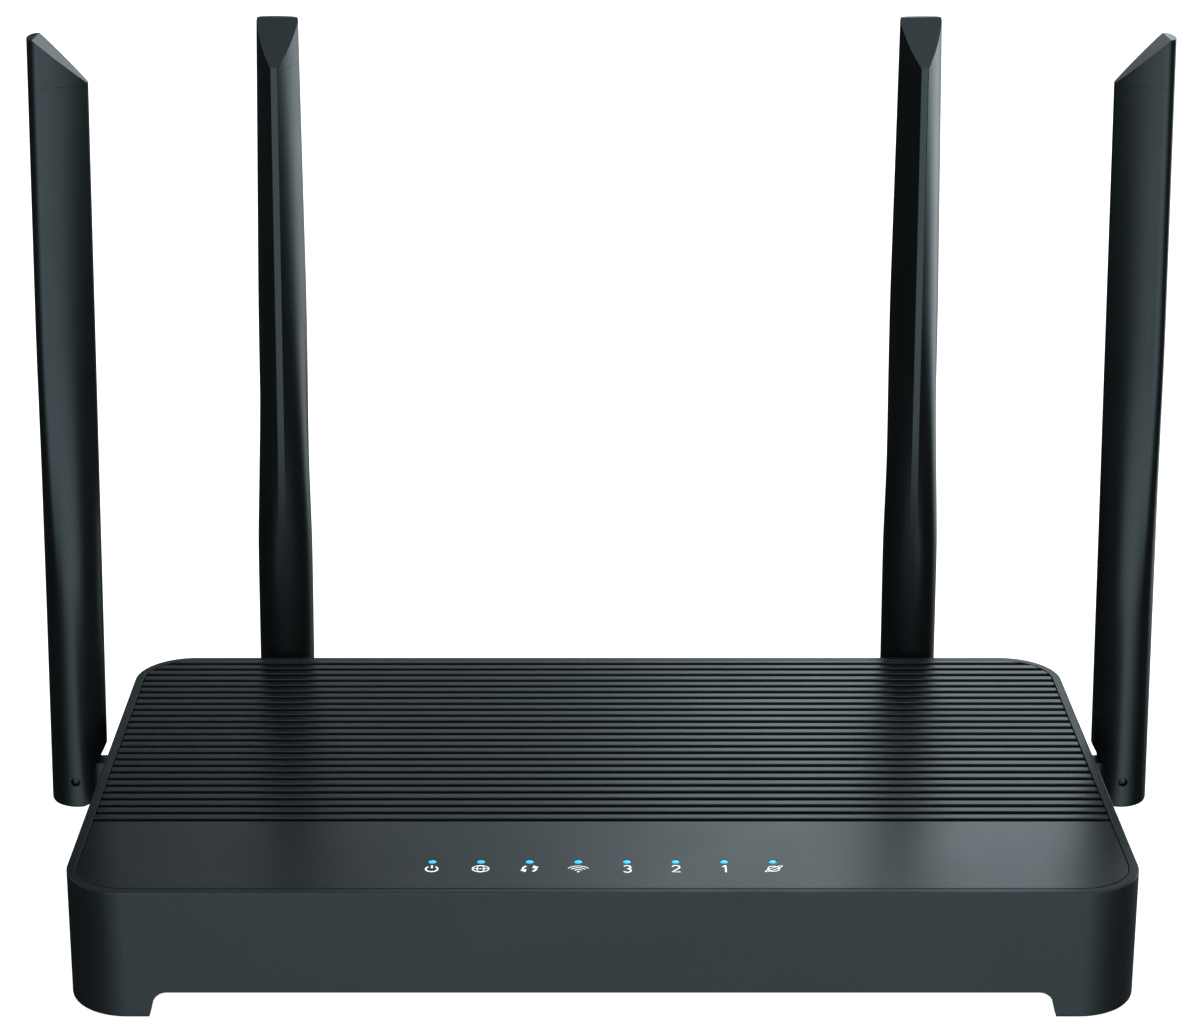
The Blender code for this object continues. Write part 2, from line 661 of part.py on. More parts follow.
def section(z):
    """The antenna's outline at a height: round at the foot, ridged with flat flanks higher up."""
    t = min(1.0, max(0.0, (z - ROUND_UP_TO) / (FACETED_FROM - ROUND_UP_TO)))
    faceted = t * t * (3 - 2 * t)
    width = antenna_width(z)
    half = []
    for x, y in half_section(width):
        bearing = math.atan2(x, -y)
        round_x = width / 2 * math.sin(bearing)
        round_y = -ANTENNA_HALF_DEPTH * math.cos(bearing)
        half.append((round_x + (x - round_x) * faceted, round_y + (y - round_y) * faceted))
    outline = half + [(-x, y) for x, y in reversed(half[1:-1])]
    return [(x, y, z) for x, y in outline]


def foot_profile():
    """Side view of what is cut from the foot: the step back from the wall and the room to fold."""
    ridge = -ANTENNA_HALF_DEPTH
    inner = ridge + RELIEF_DEPTH
    first = math.degrees(math.acos(-inner / SWING_RADIUS))
    last = math.degrees(math.asin(ANTENNA_BELOW_PIN / SWING_RADIUS))
    swing = [(-y, -z) for y, z in arc((0, 0), SWING_RADIUS, first, last, 3)]
    slope = (RELIEF_TOP - RELIEF_FULL) / RELIEF_DEPTH
    start = (ridge - OVERLAP, RELIEF_TOP + OVERLAP * slope)
    return [start, (inner, RELIEF_FULL)] + swing + [(swing[-1][0], -PAST), (ridge - OVERLAP, -PAST)]


def pin_hole():
    return turned([(PIN_RADIUS + GAP, -PAST), (PIN_RADIUS + GAP, PAST)], X_AXIS, 12)


def add_antenna_shell(name, hinge):
    """Hollow blade whose foot is slotted for the knuckle's tongue."""
    heights = [-ANTENNA_BELOW_PIN, HOLLOW_LOW[2], ROUND_UP_TO, *BLEND_HEIGHTS, FACETED_FROM, TIP_JOINT]
    blade = solid_of_rings([section(z) for z in heights])
    shell = add("antenna_shell_" + name, blade, "black_plastic", hinge)
    cut(shell, box(HOLLOW_LOW, (*HOLLOW_HIGH, ANTENNA_ABOVE_PIN)))
    cut(shell, extruded_x(foot_profile(), PAST))
    slot = TONGUE_RADIUS + SLOT_ROOM
    half = TONGUE_HALF_WIDTH + GAP
    cut(shell, box((-half, -PAST, -PAST), (half, slot, slot)))
    cut(shell, pin_hole())


def add_antenna_tip(name, hinge):
    """Cap with a slanted face that rises from the ridge side to a narrow flat at the back."""
    rings = [section(z) for z in (TIP_JOINT + GAP, ANTENNA_ABOVE_PIN)]
    tip = add("antenna_tip_" + name, solid_of_rings(rings), "black_plastic", hinge)
    front, flat = -ANTENNA_HALF_DEPTH, ANTENNA_HALF_DEPTH - TIP_FLAT
    top = ANTENNA_ABOVE_PIN
    past = OVERLAP * TIP_SLANT_DROP / (flat - front)
    slant = [
        (front - OVERLAP, top - TIP_SLANT_DROP - past),
        (flat + OVERLAP, top + past),
        (front - OVERLAP, top + past),
    ]
    cut(tip, extruded_x(slant, PAST))


def add_knuckle(name, swivel):
    """Swivel disc and neck that turn in the wall, and the tongue that carries the pin."""
    wall_face = GAP - PIN_FROM_WALL
    clip = -PIN_FROM_WALL - WALL - GAP
    profile = [
        (NECK_RADIUS, NECK_END),
        (NECK_RADIUS, clip - CLIP_THICK),
        (CLIP_RADIUS, clip - CLIP_THICK),
        (CLIP_RADIUS, clip),
        (NECK_RADIUS, clip),
        (NECK_RADIUS, wall_face),
        (COLLAR_RADIUS, wall_face),
        (COLLAR_RADIUS, wall_face + COLLAR_THICK),
        (DISC_RADIUS, wall_face + COLLAR_THICK),
        (DISC_RADIUS, DISC_FACE - DISC_CHAMFER),
        (DISC_RADIUS - DISC_CHAMFER, DISC_FACE),
    ]
    knuckle = add("knuckle_" + name, turned(profile, Y_AXIS), "black_plastic", swivel)
    root = DISC_FACE - TONGUE_ROOT
    tongue = [(root, -TONGUE_RADIUS)] + arc((0, 0), TONGUE_RADIUS, -90, 90, 8) + [(root, TONGUE_RADIUS)]
    fuse(knuckle, extruded_x(tongue, TONGUE_HALF_WIDTH))
    cut(knuckle, pin_hole())
    cut(knuckle, turned([(LEAD_BORE, NECK_END - OVERLAP), (LEAD_BORE, DISC_FACE - OVERLAP)], Y_AXIS, 10))


def add_radiator(name, hinge):
    """Flat strip that stands in the hollow of the blade."""
    shape = box(RADIATOR_LOW, (*RADIATOR_HIGH, TIP_JOINT - RADIATOR_BELOW_TIP))
    add("radiator_" + name, shape, "copper", hinge)


def add_hinge_pin(name, hinge):
    end = PIN_HALF_LENGTH
    profile = [
        (PIN_RADIUS - PIN_CHAMFER, -end),
        (PIN_RADIUS, PIN_CHAMFER - end),
        (PIN_RADIUS, end - PIN_CHAMFER),
        (PIN_RADIUS - PIN_CHAMFER, end),
    ]
    add("hinge_pin_" + name, turned(profile, X_AXIS, 12), "steel", hinge)


def lead_route(pin, heading):
    """From inside the knuckle's hollow neck, up over the board's edge and along the board."""
    outward = Matrix.Rotation(heading, 4, "Z") @ Vector(Y_AXIS)
    along = Vector((0, -1, 0)) if abs(pin.x) > HALF_WIDTH else Vector((-math.copysign(1, pin.x), 0, 0))
    lift = ON_BOARD + LEAD_RADIUS + GAP
    points = [pin + outward * (DISC_FACE - 2 * OVERLAP), pin + outward * (NECK_END - LEAD_PAST_NECK)]
    for inward, sideways, above in (LEAD_OVER_EDGE, LEAD_ON_TOP):
        point = pin + outward * (NECK_END - inward) + along * sideways
        point.z = lift + above
        points.append(point)
    return points


def add_lead(name, pin, heading):
    """Thin coaxial lead from the board to the hollow neck of the knuckle."""
    curve = bpy.data.curves.new("lead", "CURVE")
    curve.dimensions = "3D"
    curve.bevel_depth = LEAD_RADIUS
    curve.bevel_resolution = 1
    curve.use_fill_caps = True
    spline = curve.splines.new("POLY")
    points = smooth_route(lead_route(pin, heading))
    spline.points.add(len(points) - 1)
    for place, point in zip(spline.points, points):
        place.co = (*point, 1)
    add("coax_lead_" + name, curve, "lead_grey")


def smooth_route(route, steps=4):
    """Points along a smooth curve through the route's own points."""
    ends = [2 * route[0] - route[1]] + route + [2 * route[-1] - route[-2]]
    points = []
    for a, b, c, d in zip(ends, ends[1:], ends[2:], ends[3:]):
        for step in range(steps):
            t = step / steps
            pull = (c - a) * t + (2 * a - 5 * b + 4 * c - d) * t**2 + (3 * b - a - 3 * c + d) * t**3
            points.append(b + pull / 2)
    return points + [route[-1]]


def add_axis(name, pin, angles):
    """An empty on the pin, for the pieces that turn there."""
    empty = bpy.data.objects.new(name, None)
    bpy.context.scene.collection.objects.link(empty)
    empty.location = pin
    empty.rotation_euler = Euler(angles)
    return empty


def add_antennas():
    for name, pin, (lean, sway), heading in antenna_places():
        hinge = add_axis("hinge_" + name, pin, (lean, sway, heading))
        add_antenna_shell(name, hinge)
        add_antenna_tip(name, hinge)
        add_radiator(name, hinge)
        add_hinge_pin(name, hinge)
        add_knuckle(name, add_axis("swivel_" + name, pin, (0, sway, heading)))
        add_lead(name, pin, heading)


def main():
    clear_scene()
    add_housing()
    add_top_cover()
    add_light_guide()
    add_base_plate()
    add_fasteners_and_feet()
    add_board()
    add_components()
    add_network_jacks()
    add_power_inlet()
    for name, values in BUTTONS.items():
        add_button(name, *values)
    add_antennas()


main()
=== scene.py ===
"""Looks of the four-antenna wireless router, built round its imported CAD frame.

Metres, in the frame's own axes: -Y is the front, +Z is up. Every size is taken from the
frame's boxes and joints, or named below.
"""

import json
import math

import bmesh
import bpy
from mathutils import Matrix, Vector


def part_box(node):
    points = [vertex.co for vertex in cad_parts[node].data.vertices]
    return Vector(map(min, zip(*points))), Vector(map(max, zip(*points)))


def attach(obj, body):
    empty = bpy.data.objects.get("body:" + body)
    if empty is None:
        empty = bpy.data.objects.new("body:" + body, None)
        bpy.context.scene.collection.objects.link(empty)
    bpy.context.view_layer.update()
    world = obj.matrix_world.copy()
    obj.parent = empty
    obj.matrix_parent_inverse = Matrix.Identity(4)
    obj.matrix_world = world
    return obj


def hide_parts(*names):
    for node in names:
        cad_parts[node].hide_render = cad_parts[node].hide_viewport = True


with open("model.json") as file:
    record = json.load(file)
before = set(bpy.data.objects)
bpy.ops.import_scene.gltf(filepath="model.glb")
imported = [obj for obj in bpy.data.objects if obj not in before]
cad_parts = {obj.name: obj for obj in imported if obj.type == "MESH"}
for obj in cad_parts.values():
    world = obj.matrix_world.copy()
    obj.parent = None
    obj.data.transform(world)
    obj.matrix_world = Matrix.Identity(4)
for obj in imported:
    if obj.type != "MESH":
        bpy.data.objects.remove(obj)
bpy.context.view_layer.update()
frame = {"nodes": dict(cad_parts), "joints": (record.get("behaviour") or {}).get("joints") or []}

MM = 0.001
SHARP_ANGLE = math.radians(32)  # edges that turn more than this stay crisp in the shading
BEYOND = 5 * MM  # how far a cutting shape reaches past the surface that it cuts
FAR = 10 * MM  # the same, for shapes that cut right through

# Places and sizes read from the frame

case_low, case_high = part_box("upper_housing")
cover_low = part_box("top_cover")[0]
plate_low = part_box("base_plate")[0]
FRONT, REAR = case_low.y, case_high.y
MIDDLE = (FRONT + REAR) / 2
HALF_WIDTH = (case_high.x - case_low.x) / 2
HALF_DEPTH = (REAR - FRONT) / 2
TOP = case_high.z
FOLDS = {
    joint["name"].replace("_antenna_fold", ""): joint
    for joint in frame["joints"]
    if joint["name"].endswith("_antenna_fold")
}

# Case
CORNER_RADIUS = 13 * MM
WALL = 2.4 * MM
RIM = 2.0 * MM
RIM_GAP = 0.18 * MM  # dark line between rim and cover
TOP_FILLET = 0.4 * MM
LIP_FILLET = 0.08 * MM  # the rim's inner edge
FOOT_FILLET = 0.5 * MM
CASE_ROUNDING = 0.22 * MM
LEDGE_TOP = cover_low.z - 0.3 * MM
LEDGE_INSET = 4.2 * MM
LEDGE_THICK = 1.5 * MM
CUTOUT_MARGIN = 0.15 * MM
NOTCH_TOP = 6.1 * MM
FOOT_LENGTH = 17.4 * MM  # at the table
FOOT_DRAFT = 14  # degrees that a foot's end leans back from upright
NOTCH_RADIUS = 3.0 * MM
CORNER_STEPS = 20

# Base plate
PLATE_LOW = 6.5 * MM
PLATE_HIGH = 8.7 * MM
PLATE_GAP = 0.15 * MM
LEG_RADIUS = 6.0 * MM
SCREW_BORE = 2.8 * MM
SCREW_BORE_TOP = 5.9 * MM
VENTS = 7  # on each side
VENT_FIRST = 18 * MM
VENT_PITCH = 8.5 * MM
VENT_HALF_WIDTH = 1.2 * MM
VENT_HALF_LENGTH = 26 * MM
VENT_RADIUS = 1.15 * MM
VENT_SHIFT = 4 * MM  # towards the front
NECK_ROOM_HALF = 7 * MM  # gap in the plate below each rear knuckle's neck
NECK_ROOM_DEPTH = 6.5 * MM
PLATE_ROUNDING = 0.25 * MM
FOOT_CORNERS = ("front_left", "rear_left", "front_right", "rear_right")

# Cover
RIB_PITCH = 2 * HALF_DEPTH / 36
GROOVE_COUNT = 26
FIRST_GROOVE = 1.18 * RIB_PITCH
GROOVE_WIDTH = 0.45 * RIB_PITCH
GROOVE_DEPTH = 1.1 * MM
RIB_FILLET = 0.16 * MM
COVER_EDGE = 0.16 * MM
CORNER_ROWS = 24
ROW_SPACING = 0.1 * MM
LIGHTS = 8
LIGHT_PITCH = 10 * MM
LIGHT_Y = FRONT + 4.09 * RIB_PITCH
LIGHT_RADIUS = 0.83 * MM
LIGHT_GAP = 0.12 * MM
GUIDE_DROP = 0.8 * MM  # from the cover's underside to the guide's bar
ROD_INTO_BAR = 0.6 * MM
ICON_Y = LIGHT_Y - 3.3 * MM
INK_THICK = 0.02 * MM
INK_SUNK = 0.03 * MM
INK_PAINTED_GLOW = 0.95  # painted light: the print glows, so that it stays white in the dim light over the dark cover

# Antenna, in its own frame: x along the pin, +y away from the wall, origin on the pin
HALF_DEEP = 6.35 * MM
BASE_WIDTH = 13.1 * MM
TIP_WIDTH = 9.6 * MM
ROUND_UP_TO = 35 * MM
FACETED_FROM = 110 * MM
TAPER_FROM = 45 * MM
RIDGE_HALF = 0.8 * MM
RIDGE_FILLET = 0.25 * MM
FLANK_CROWN = 0.34 * MM  # at the tip, and twice that further down
CROWN_GROWTH = 60 * MM
BACK_RADIUS = 2.2 * MM
BACK_CROWN = 0.3 * MM
ANTENNA_LOW = -6.3 * MM
ANTENNA_TOP = 171 * MM
LEAN = math.radians(1.1)
TIP_FLAT = 1.8 * MM
SLANT_DROP = 9.7 * MM
TIP_JOINT = ANTENNA_TOP - SLANT_DROP - 0.6 * MM
PIN_RADIUS = 1.0 * MM
TONGUE_RADIUS = 2.9 * MM
TONGUE_HALF = 2.3 * MM
RELIEF_DEPTH = 2.2 * MM
RELIEF_TOP = 7.2 * MM
RELIEF_FULL = 3.0 * MM
SWING_RADIUS = 6.4 * MM
WALL_FACE = -9.8 * MM
COLLAR_RADIUS = 6.2 * MM
COLLAR_FACE = -8.6 * MM
DISC_FACE = -6.7 * MM
DISC_RADIUS = 4.6 * MM
NECK_RADIUS = 3.6 * MM
NECK_END = -14.8 * MM
CLIP_RADIUS = 5.0 * MM
SEAM = 0.04 * MM  # between an antenna's shell and tip
SEAM_OVERLAP = 1 * MM  # both are built past the seam, rounded, then cut back to it
SHELL_RINGS = 64
TIP_RINGS = 6
FOOT_ROUND = [(0.5, 0.0), (0.28, 0.04), (0.12, 0.14), (0.03, 0.30), (0, 0.5)]  # (inset, rise) in mm
TONGUE_SLOT_GAP = 0.4 * MM
TONGUE_SIDE_GAP = 0.25 * MM
PIN_BORE = PIN_RADIUS + 0.06 * MM
KNUCKLE_BORE = PIN_RADIUS + 0.1 * MM
PIN_HALF = 5.9 * MM  # a little short of the antenna's surface
SHELL_ROUNDING = 0.16 * MM
TIP_ROUNDING = 0.18 * MM
KNUCKLE_ROUNDING = 0.2 * MM
DISC_EDGE = 0.4 * MM
COLLAR_EDGE = 0.15 * MM
COLLAR_GAP = 0.1 * MM
CLIP_GAP = 0.3 * MM
CLIP_THICK = 1.4 * MM
NECK_GAP = 0.2 * MM

# Rear panel
MOUTH_HALF = 6.0 * MM
MOUTH_LOW = 4.2 * MM
MOUTH_HIGH = 11.6 * MM
LATCH_HALF = 3.2 * MM
LATCH_LOW = 1.4 * MM
LATCH_HIGH = 5.2 * MM
JACK_BACK = 2.5 * MM
JACK_ROUNDING = 0.22 * MM
CONTACTS = 8
CONTACT_PITCH = 1.02 * MM
CONTACT_ROOF = 11.5 * MM
CONTACT_HALF = 0.2 * MM
CONTACT_THICK = 0.3 * MM
INLET_BORE = 3.15 * MM
INLET_MOUTH = 3.6 * MM
INLET_DEPTH = 10.5 * MM
INLET_ROUNDING = 0.2 * MM
INLET_PIN = 1.0 * MM
CAP_RADII = {"power_button": 3.4 * MM, "wps_button": 2.2 * MM}
FLANGE_REACH = 0.7 * MM
FLANGE_THICK = 1.2 * MM
FLANGE_GAP = 0.35 * MM
CAP_FILLET = 0.5 * MM

# Camera: a long lens, above the router and tilted down, with the picture shifted onto it
CAMERA_PLACE = Vector((-0.0067, FRONT - 0.5283, 0.2968))
CAMERA_TILT = math.radians(16.72)
CAMERA_LENS = 87.0
CAMERA_SHIFT = (0.025, -0.12)

# Studio
FLOOR_REACH = 6.0
FLOOR_GLOW = 0.98
SURROUNDINGS = 0.018

# Broad lights of the studio, as (azimuth, half width, fade) and (lowest, highest, fade) in degrees,
# and brightness. Azimuth 0 is straight in front of the router, 90 to its right and 180 behind it.
GLOWS = [
    ((6, 2, 20), (-60, -24, 8), 1.12),  # front, low
    ((4, 18, 34), (-20, 6, 9), 2.15),  # front, at the eye line
    ((135, 9, 12), (-12, 8, 10), 2.6),  # behind right, at the eye line
    ((0, 35, 30), (14, 45, 12), 0.45),  # front, high
    ((88, 26, 24), (10, 45, 14), 0.45),  # right, high
    ((-100, 34, 26), (10, 45, 14), 0.45),  # left, high
]

# Softboxes: place, aim, size and power in watts
LIGHT_COLOUR = (0.84, 0.95, 1.0)
SOFTBOXES = {
    "overhead": ((0.25, -0.10, 1.60), (0, 0, 0), (1.2, 1.0), 4.0),
    "behind_right": ((0.20, 0.85, 0.44), (0.05, 0, 0.02), (0.34, 0.40), 0.75),
    "behind_broad": ((0.25, 1.35, 0.80), (0.0, 0, 0.02), (1.25, 0.8), 2.0),
    "front_high": ((0.0, -0.75, 1.37), (0.0, -0.07, 0.02), (0.9, 0.3), 7.0),
}
REFLECTED_LIGHT_TINT = (0.80, 0.96, 1.0)  # painted tint: the plastic's reflections take on part of the studio light's blue-green colour


# Meshes


def mesh_of(bm):
    bmesh.ops.recalc_face_normals(bm, faces=bm.faces)
    mesh = bpy.data.meshes.new("shape")
    bm.to_mesh(mesh)
    bm.free()
    mesh.shade_smooth()
    mesh.set_sharp_from_angle(angle=SHARP_ANGLE)
    return mesh


def rings_mesh(rings, looped=False):
    """A closed surface through rings of equally many points."""
    bm = bmesh.new()
    made = [[bm.verts.new(point) for point in ring] for ring in rings]
    pairs = list(zip(made, made[1:]))
    if looped:
        pairs.append((made[-1], made[0]))
    else:
        bm.faces.new(made[0])
        bm.faces.new(made[-1])
    for lower, upper in pairs:
        for i in range(len(lower)):
            j = (i + 1) % len(lower)
            bm.faces.new((lower[i], lower[j], upper[j], upper[i]))
    return mesh_of(bm)


def prism(outline, low, high):
    return rings_mesh([[(x, y, z) for x, y in outline] for z in (low, high)])


def box(low, high):
    outline = [(low[0], low[1]), (high[0], low[1]), (high[0], high[1]), (low[0], high[1])]
    return prism(outline, low[2], high[2])


def extruded_x(profile, half):
    return rings_mesh([[(x, y, z) for y, z in profile] for x in (-half, half)])


def turned(profile, axis=(0, 0, 1), steps=48):
    """A turned solid of (radius, height) pairs along the axis."""
    turn = Vector((0, 0, 1)).rotation_difference(Vector(axis))
    rings = []
    for radius, height in profile:
        ring = []
        for step in range(steps):
            angle = math.tau * (step + 0.5) / steps
            x, y = radius * math.cos(angle), radius * math.sin(angle)
            ring.append(turn @ Vector((x, y, height)))
        rings.append(ring)
    return rings_mesh(rings)


def arc(centre, radius, first, last, steps):
    """Points on a circle from one angle to another, in degrees."""
    points = []
    for step in range(steps + 1):
        angle = math.radians(first + (last - first) * step / steps)
        points.append((centre[0] + radius * math.cos(angle), centre[1] + radius * math.sin(angle)))
    return points


def rounded_rectangle(half_x, half_y, radius, steps=CORNER_STEPS):
    points = []
    for quarter, (sx, sy) in enumerate(((1, 1), (-1, 1), (-1, -1), (1, -1))):
        centre = (sx * (half_x - radius), sy * (half_y - radius))
        points += arc(centre, radius, 90 * quarter, 90 * quarter + 90, steps)
    return points


def ellipse(half_x, half_y, steps):
    """Points evenly round an ellipse, by angle."""
    turns = [math.tau * i / steps for i in range(steps)]
    return [(half_x * math.cos(a), half_y * math.sin(a)) for a in turns]


def joined(meshes):
    bm = bmesh.new()
    for mesh in meshes:
        bm.from_mesh(mesh)
    return mesh_of(bm)


def moved(mesh, offset):
    mesh.transform(Matrix.Translation(offset))
    return mesh


def case_outline(inset):
    outline = rounded_rectangle(HALF_WIDTH - inset, HALF_DEPTH - inset, CORNER_RADIUS - inset)
    return [(x, y + MIDDLE) for x, y in outline]


# Objects


def piece(name, mesh, finish, body, stands_for=(), place=None):
    """Adds a finished piece to the scene, on its body."""
    obj = bpy.data.objects.new(name, mesh)
    bpy.context.scene.collection.objects.link(obj)
    mesh.materials.clear()
    mesh.materials.append(finish)
    if place is not None:
        obj.matrix_world = place
    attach(obj, body)
    if stands_for:
        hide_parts(*stands_for)
    return obj


def combine(obj, mesh, operation="DIFFERENCE"):
    """Applies a Boolean with a helper mesh given in the object's own frame."""
    helper = bpy.data.objects.new("helper", mesh)
    bpy.context.scene.collection.objects.link(helper)
    helper.matrix_world = obj.matrix_world
    modifier = obj.modifiers.new("cut", "BOOLEAN")
    modifier.operation = operation
    modifier.object = helper
    modifier.solver = "EXACT"
    apply_modifiers(obj)
    bpy.data.objects.remove(helper)


def apply_modifiers(obj):
    bpy.context.view_layer.update()
    evaluated = obj.evaluated_get(bpy.context.evaluated_depsgraph_get())
    old = obj.data
    materials = list(old.materials)
    obj.data = bpy.data.meshes.new_from_object(evaluated)
    obj.modifiers.clear()
    obj.data.materials.clear()
    for finish in materials:
        obj.data.materials.append(finish)
    bpy.data.meshes.remove(old)


def soften(obj, width, angle=38):
    """Rounds the edges that turn more than the angle."""
    bevel = obj.modifiers.new("bevel", "BEVEL")
    bevel.width = width
    bevel.segments = 3
    bevel.limit_method = "ANGLE"
    bevel.angle_limit = math.radians(angle)
    bevel.miter_outer = "MITER_ARC"
    bevel.use_clamp_overlap = True
    apply_modifiers(obj)
    shade(obj)


def shade(obj):
    """Smooth shading with crisp edges, in which the large faces keep their own direction."""
    obj.data.shade_smooth()
    obj.data.set_sharp_from_angle(angle=SHARP_ANGLE)
    normals = obj.modifiers.new("normals", "WEIGHTED_NORMAL")
    normals.keep_sharp = True
    apply_modifiers(obj)


# Materials


class Nodes:
    """Small helper that adds and links shader nodes."""

    def __init__(self, name):
        self.material = bpy.data.materials.new(name)
        self.material.use_nodes = True
        self.tree = self.material.node_tree
        self.shader = self.tree.nodes["Principled BSDF"]

    def add(self, kind, **settings):
        node = self.tree.nodes.new(kind)
        for key, value in settings.items():
            setattr(node, key, value)
        return node

    def link(self, source, target):
        self.tree.links.new(source, target)

    def object_noise(self, scale, detail=3.0, roughness=0.55, stretch=(1, 1, 1)):
        place = self.add("ShaderNodeTexCoord")
        mapping = self.add("ShaderNodeMapping")
        mapping.inputs["Scale"].default_value = stretch
        noise = self.add("ShaderNodeTexNoise")
        noise.inputs["Scale"].default_value = scale
        noise.inputs["Detail"].default_value = detail
        noise.inputs["Roughness"].default_value = roughness
        self.link(place.outputs["Object"], mapping.inputs["Vector"])
        self.link(mapping.outputs["Vector"], noise.inputs["Vector"])
        return noise.outputs["Fac"]

    def ramp(self, factor, low, high, span=(0.3, 0.7)):
        """Maps a factor onto a span of colours or values."""
        node = self.add("ShaderNodeMapRange")
        node.inputs["From Min"].default_value = span[0]
        node.inputs["From Max"].default_value = span[1]
        node.inputs["To Min"].default_value = low
        node.inputs["To Max"].default_value = high
        self.link(factor, node.inputs["Value"])
        return node.outputs["Result"]

    def mix(self, factor, first, second):
        node = self.add("ShaderNodeMix", data_type="RGBA")
        node.inputs["A"].default_value = (*first, 1)
        node.inputs["B"].default_value = (*second, 1)
        self.link(factor, node.inputs["Factor"])
        return node.outputs["Result"]

    def bump(self, height, strength, distance):
        node = self.add("ShaderNodeBump")
        node.inputs["Strength"].default_value = strength
        node.inputs["Distance"].default_value = distance
        self.link(height, node.inputs["Height"])
        self.link(node.outputs["Normal"], self.shader.inputs["Normal"])


def scaled(colour, factor):
    return tuple(min(1.0, channel * factor) for channel in colour)


def moulded_plastic(name, colour, rough, grain=0.22, depth=0.010, specular=0.5, drift=0.12):
    """Spark-textured moulding: a fine grain in the surface, and slow drifts in tone and polish."""
    nodes = Nodes(name)
    cloud = nodes.object_noise(28, 4)
    fine = nodes.object_noise(1 / (grain * MM), 2)
    tone = nodes.mix(nodes.ramp(cloud, 0, 1), scaled(colour, 1 - drift), scaled(colour, 1 + drift))
    nodes.link(tone, nodes.shader.inputs["Base Color"])
    nodes.link(nodes.ramp(cloud, rough - 0.03, rough + 0.03), nodes.shader.inputs["Roughness"])
    nodes.shader.inputs["Specular IOR Level"].default_value = specular
    # painted tint: the studio light's blue-green colour is put into the plastic's reflections
    nodes.shader.inputs["Specular Tint"].default_value = (*REFLECTED_LIGHT_TINT, 1)
    nodes.bump(fine, 0.5, depth * MM)
    return nodes.material


def metal(name, colour, rough, brushed=(1, 1, 1)):
    nodes = Nodes(name)
    streaks = nodes.object_noise(900, 3, stretch=brushed)
    tone = nodes.mix(nodes.ramp(streaks, 0, 1), scaled(colour, 0.86), scaled(colour, 1.06))
    nodes.link(tone, nodes.shader.inputs["Base Color"])
    nodes.link(nodes.ramp(streaks, rough - 0.07, rough + 0.09), nodes.shader.inputs["Roughness"])
    nodes.shader.inputs["Metallic"].default_value = 1.0
    nodes.bump(streaks, 0.4, 0.004 * MM)
    return nodes.material


def lit_lens(name, colour, strength):
    """Status light: a clear lens lit cyan from inside."""
    nodes = Nodes(name)
    cloud = nodes.object_noise(1400, 1)
    glow = nodes.mix(nodes.ramp(cloud, 0, 1), scaled(colour, 0.92), scaled(colour, 1.06))
    nodes.link(glow, nodes.shader.inputs["Base Color"])
    nodes.link(glow, nodes.shader.inputs["Emission Color"])
    nodes.shader.inputs["Emission Strength"].default_value = strength
    nodes.shader.inputs["Roughness"].default_value = 0.25
    return nodes.material


def printed_ink(name, colour):
    nodes = Nodes(name)
    speckle = nodes.object_noise(2600, 2)
    tone = nodes.mix(nodes.ramp(speckle, 0, 1), scaled(colour, 0.93), scaled(colour, 1.04))
    nodes.link(tone, nodes.shader.inputs["Base Color"])
    nodes.link(nodes.ramp(speckle, 0.45, 0.6), nodes.shader.inputs["Roughness"])
    # painted light: the print glows in its own colour, though nothing lights it from inside
    nodes.link(tone, nodes.shader.inputs["Emission Color"])
    nodes.shader.inputs["Emission Strength"].default_value = INK_PAINTED_GLOW
    nodes.bump(speckle, 0.2, 0.002 * MM)
    return nodes.material


def circuit_board_finish(name):
    """Green solder mask with lighter tracks showing through."""
    nodes = Nodes(name)
    place = nodes.add("ShaderNodeTexCoord")
    brick = nodes.add("ShaderNodeTexBrick")
    brick.inputs["Scale"].default_value = 260
    brick.inputs["Mortar Size"].default_value = 0.03
    nodes.link(place.outputs["Object"], brick.inputs["Vector"])
    tone = nodes.mix(brick.outputs["Fac"], (0.015, 0.13, 0.055), (0.03, 0.22, 0.09))
    nodes.link(tone, nodes.shader.inputs["Base Color"])
    nodes.link(nodes.ramp(nodes.object_noise(120), 0.3, 0.45), nodes.shader.inputs["Roughness"])
    nodes.bump(brick.outputs["Fac"], 0.3, 0.03 * MM)
    return nodes.material


CASE = moulded_plastic("case_black", (0.0085, 0.0102, 0.0108), 0.42)
COVER = moulded_plastic("cover_black", (0.0060, 0.0073, 0.0079), 0.32, grain=0.16, depth=0.004)
ANTENNA = moulded_plastic("antenna_black", (0.0045, 0.0054, 0.0057), 0.34, grain=0.18, depth=0.006)
KNUCKLE = moulded_plastic("knuckle_black", (0.016, 0.018, 0.019), 0.42)
RUBBER = moulded_plastic(
    "foot_rubber", (0.014, 0.014, 0.014), 0.85, grain=0.4, depth=0.03, specular=0.25
)
JACK = moulded_plastic("jack_plastic", (0.012, 0.012, 0.013), 0.35, grain=0.3)
WAN_JACK = moulded_plastic("wan_jack_plastic", (0.010, 0.060, 0.180), 0.38, grain=0.3)
BUTTON = moulded_plastic("button_plastic", (0.030, 0.031, 0.032), 0.40)
CHIP = moulded_plastic("chip_black", (0.022, 0.022, 0.024), 0.48, grain=0.3)
SHEATH = moulded_plastic("lead_grey", (0.16, 0.16, 0.165), 0.5, grain=0.3)
STEEL = metal("steel", (0.58, 0.58, 0.57), 0.30)
TIN = metal("shield_tin", (0.66, 0.66, 0.64), 0.33, brushed=(1, 8, 1))
ALUMINIUM = metal("aluminium", (0.70, 0.71, 0.72), 0.36, brushed=(10, 1, 1))
COPPER = metal("copper", (0.72, 0.38, 0.20), 0.32)
GOLD = metal("contact_gold", (0.85, 0.62, 0.25), 0.25)
BOARD = circuit_board_finish("circuit_board")
LENS = lit_lens("light_lens", (0.040, 0.50, 0.80), 0.82)
INK = printed_ink("icon_white", (0.84, 0.85, 0.85))


# Case


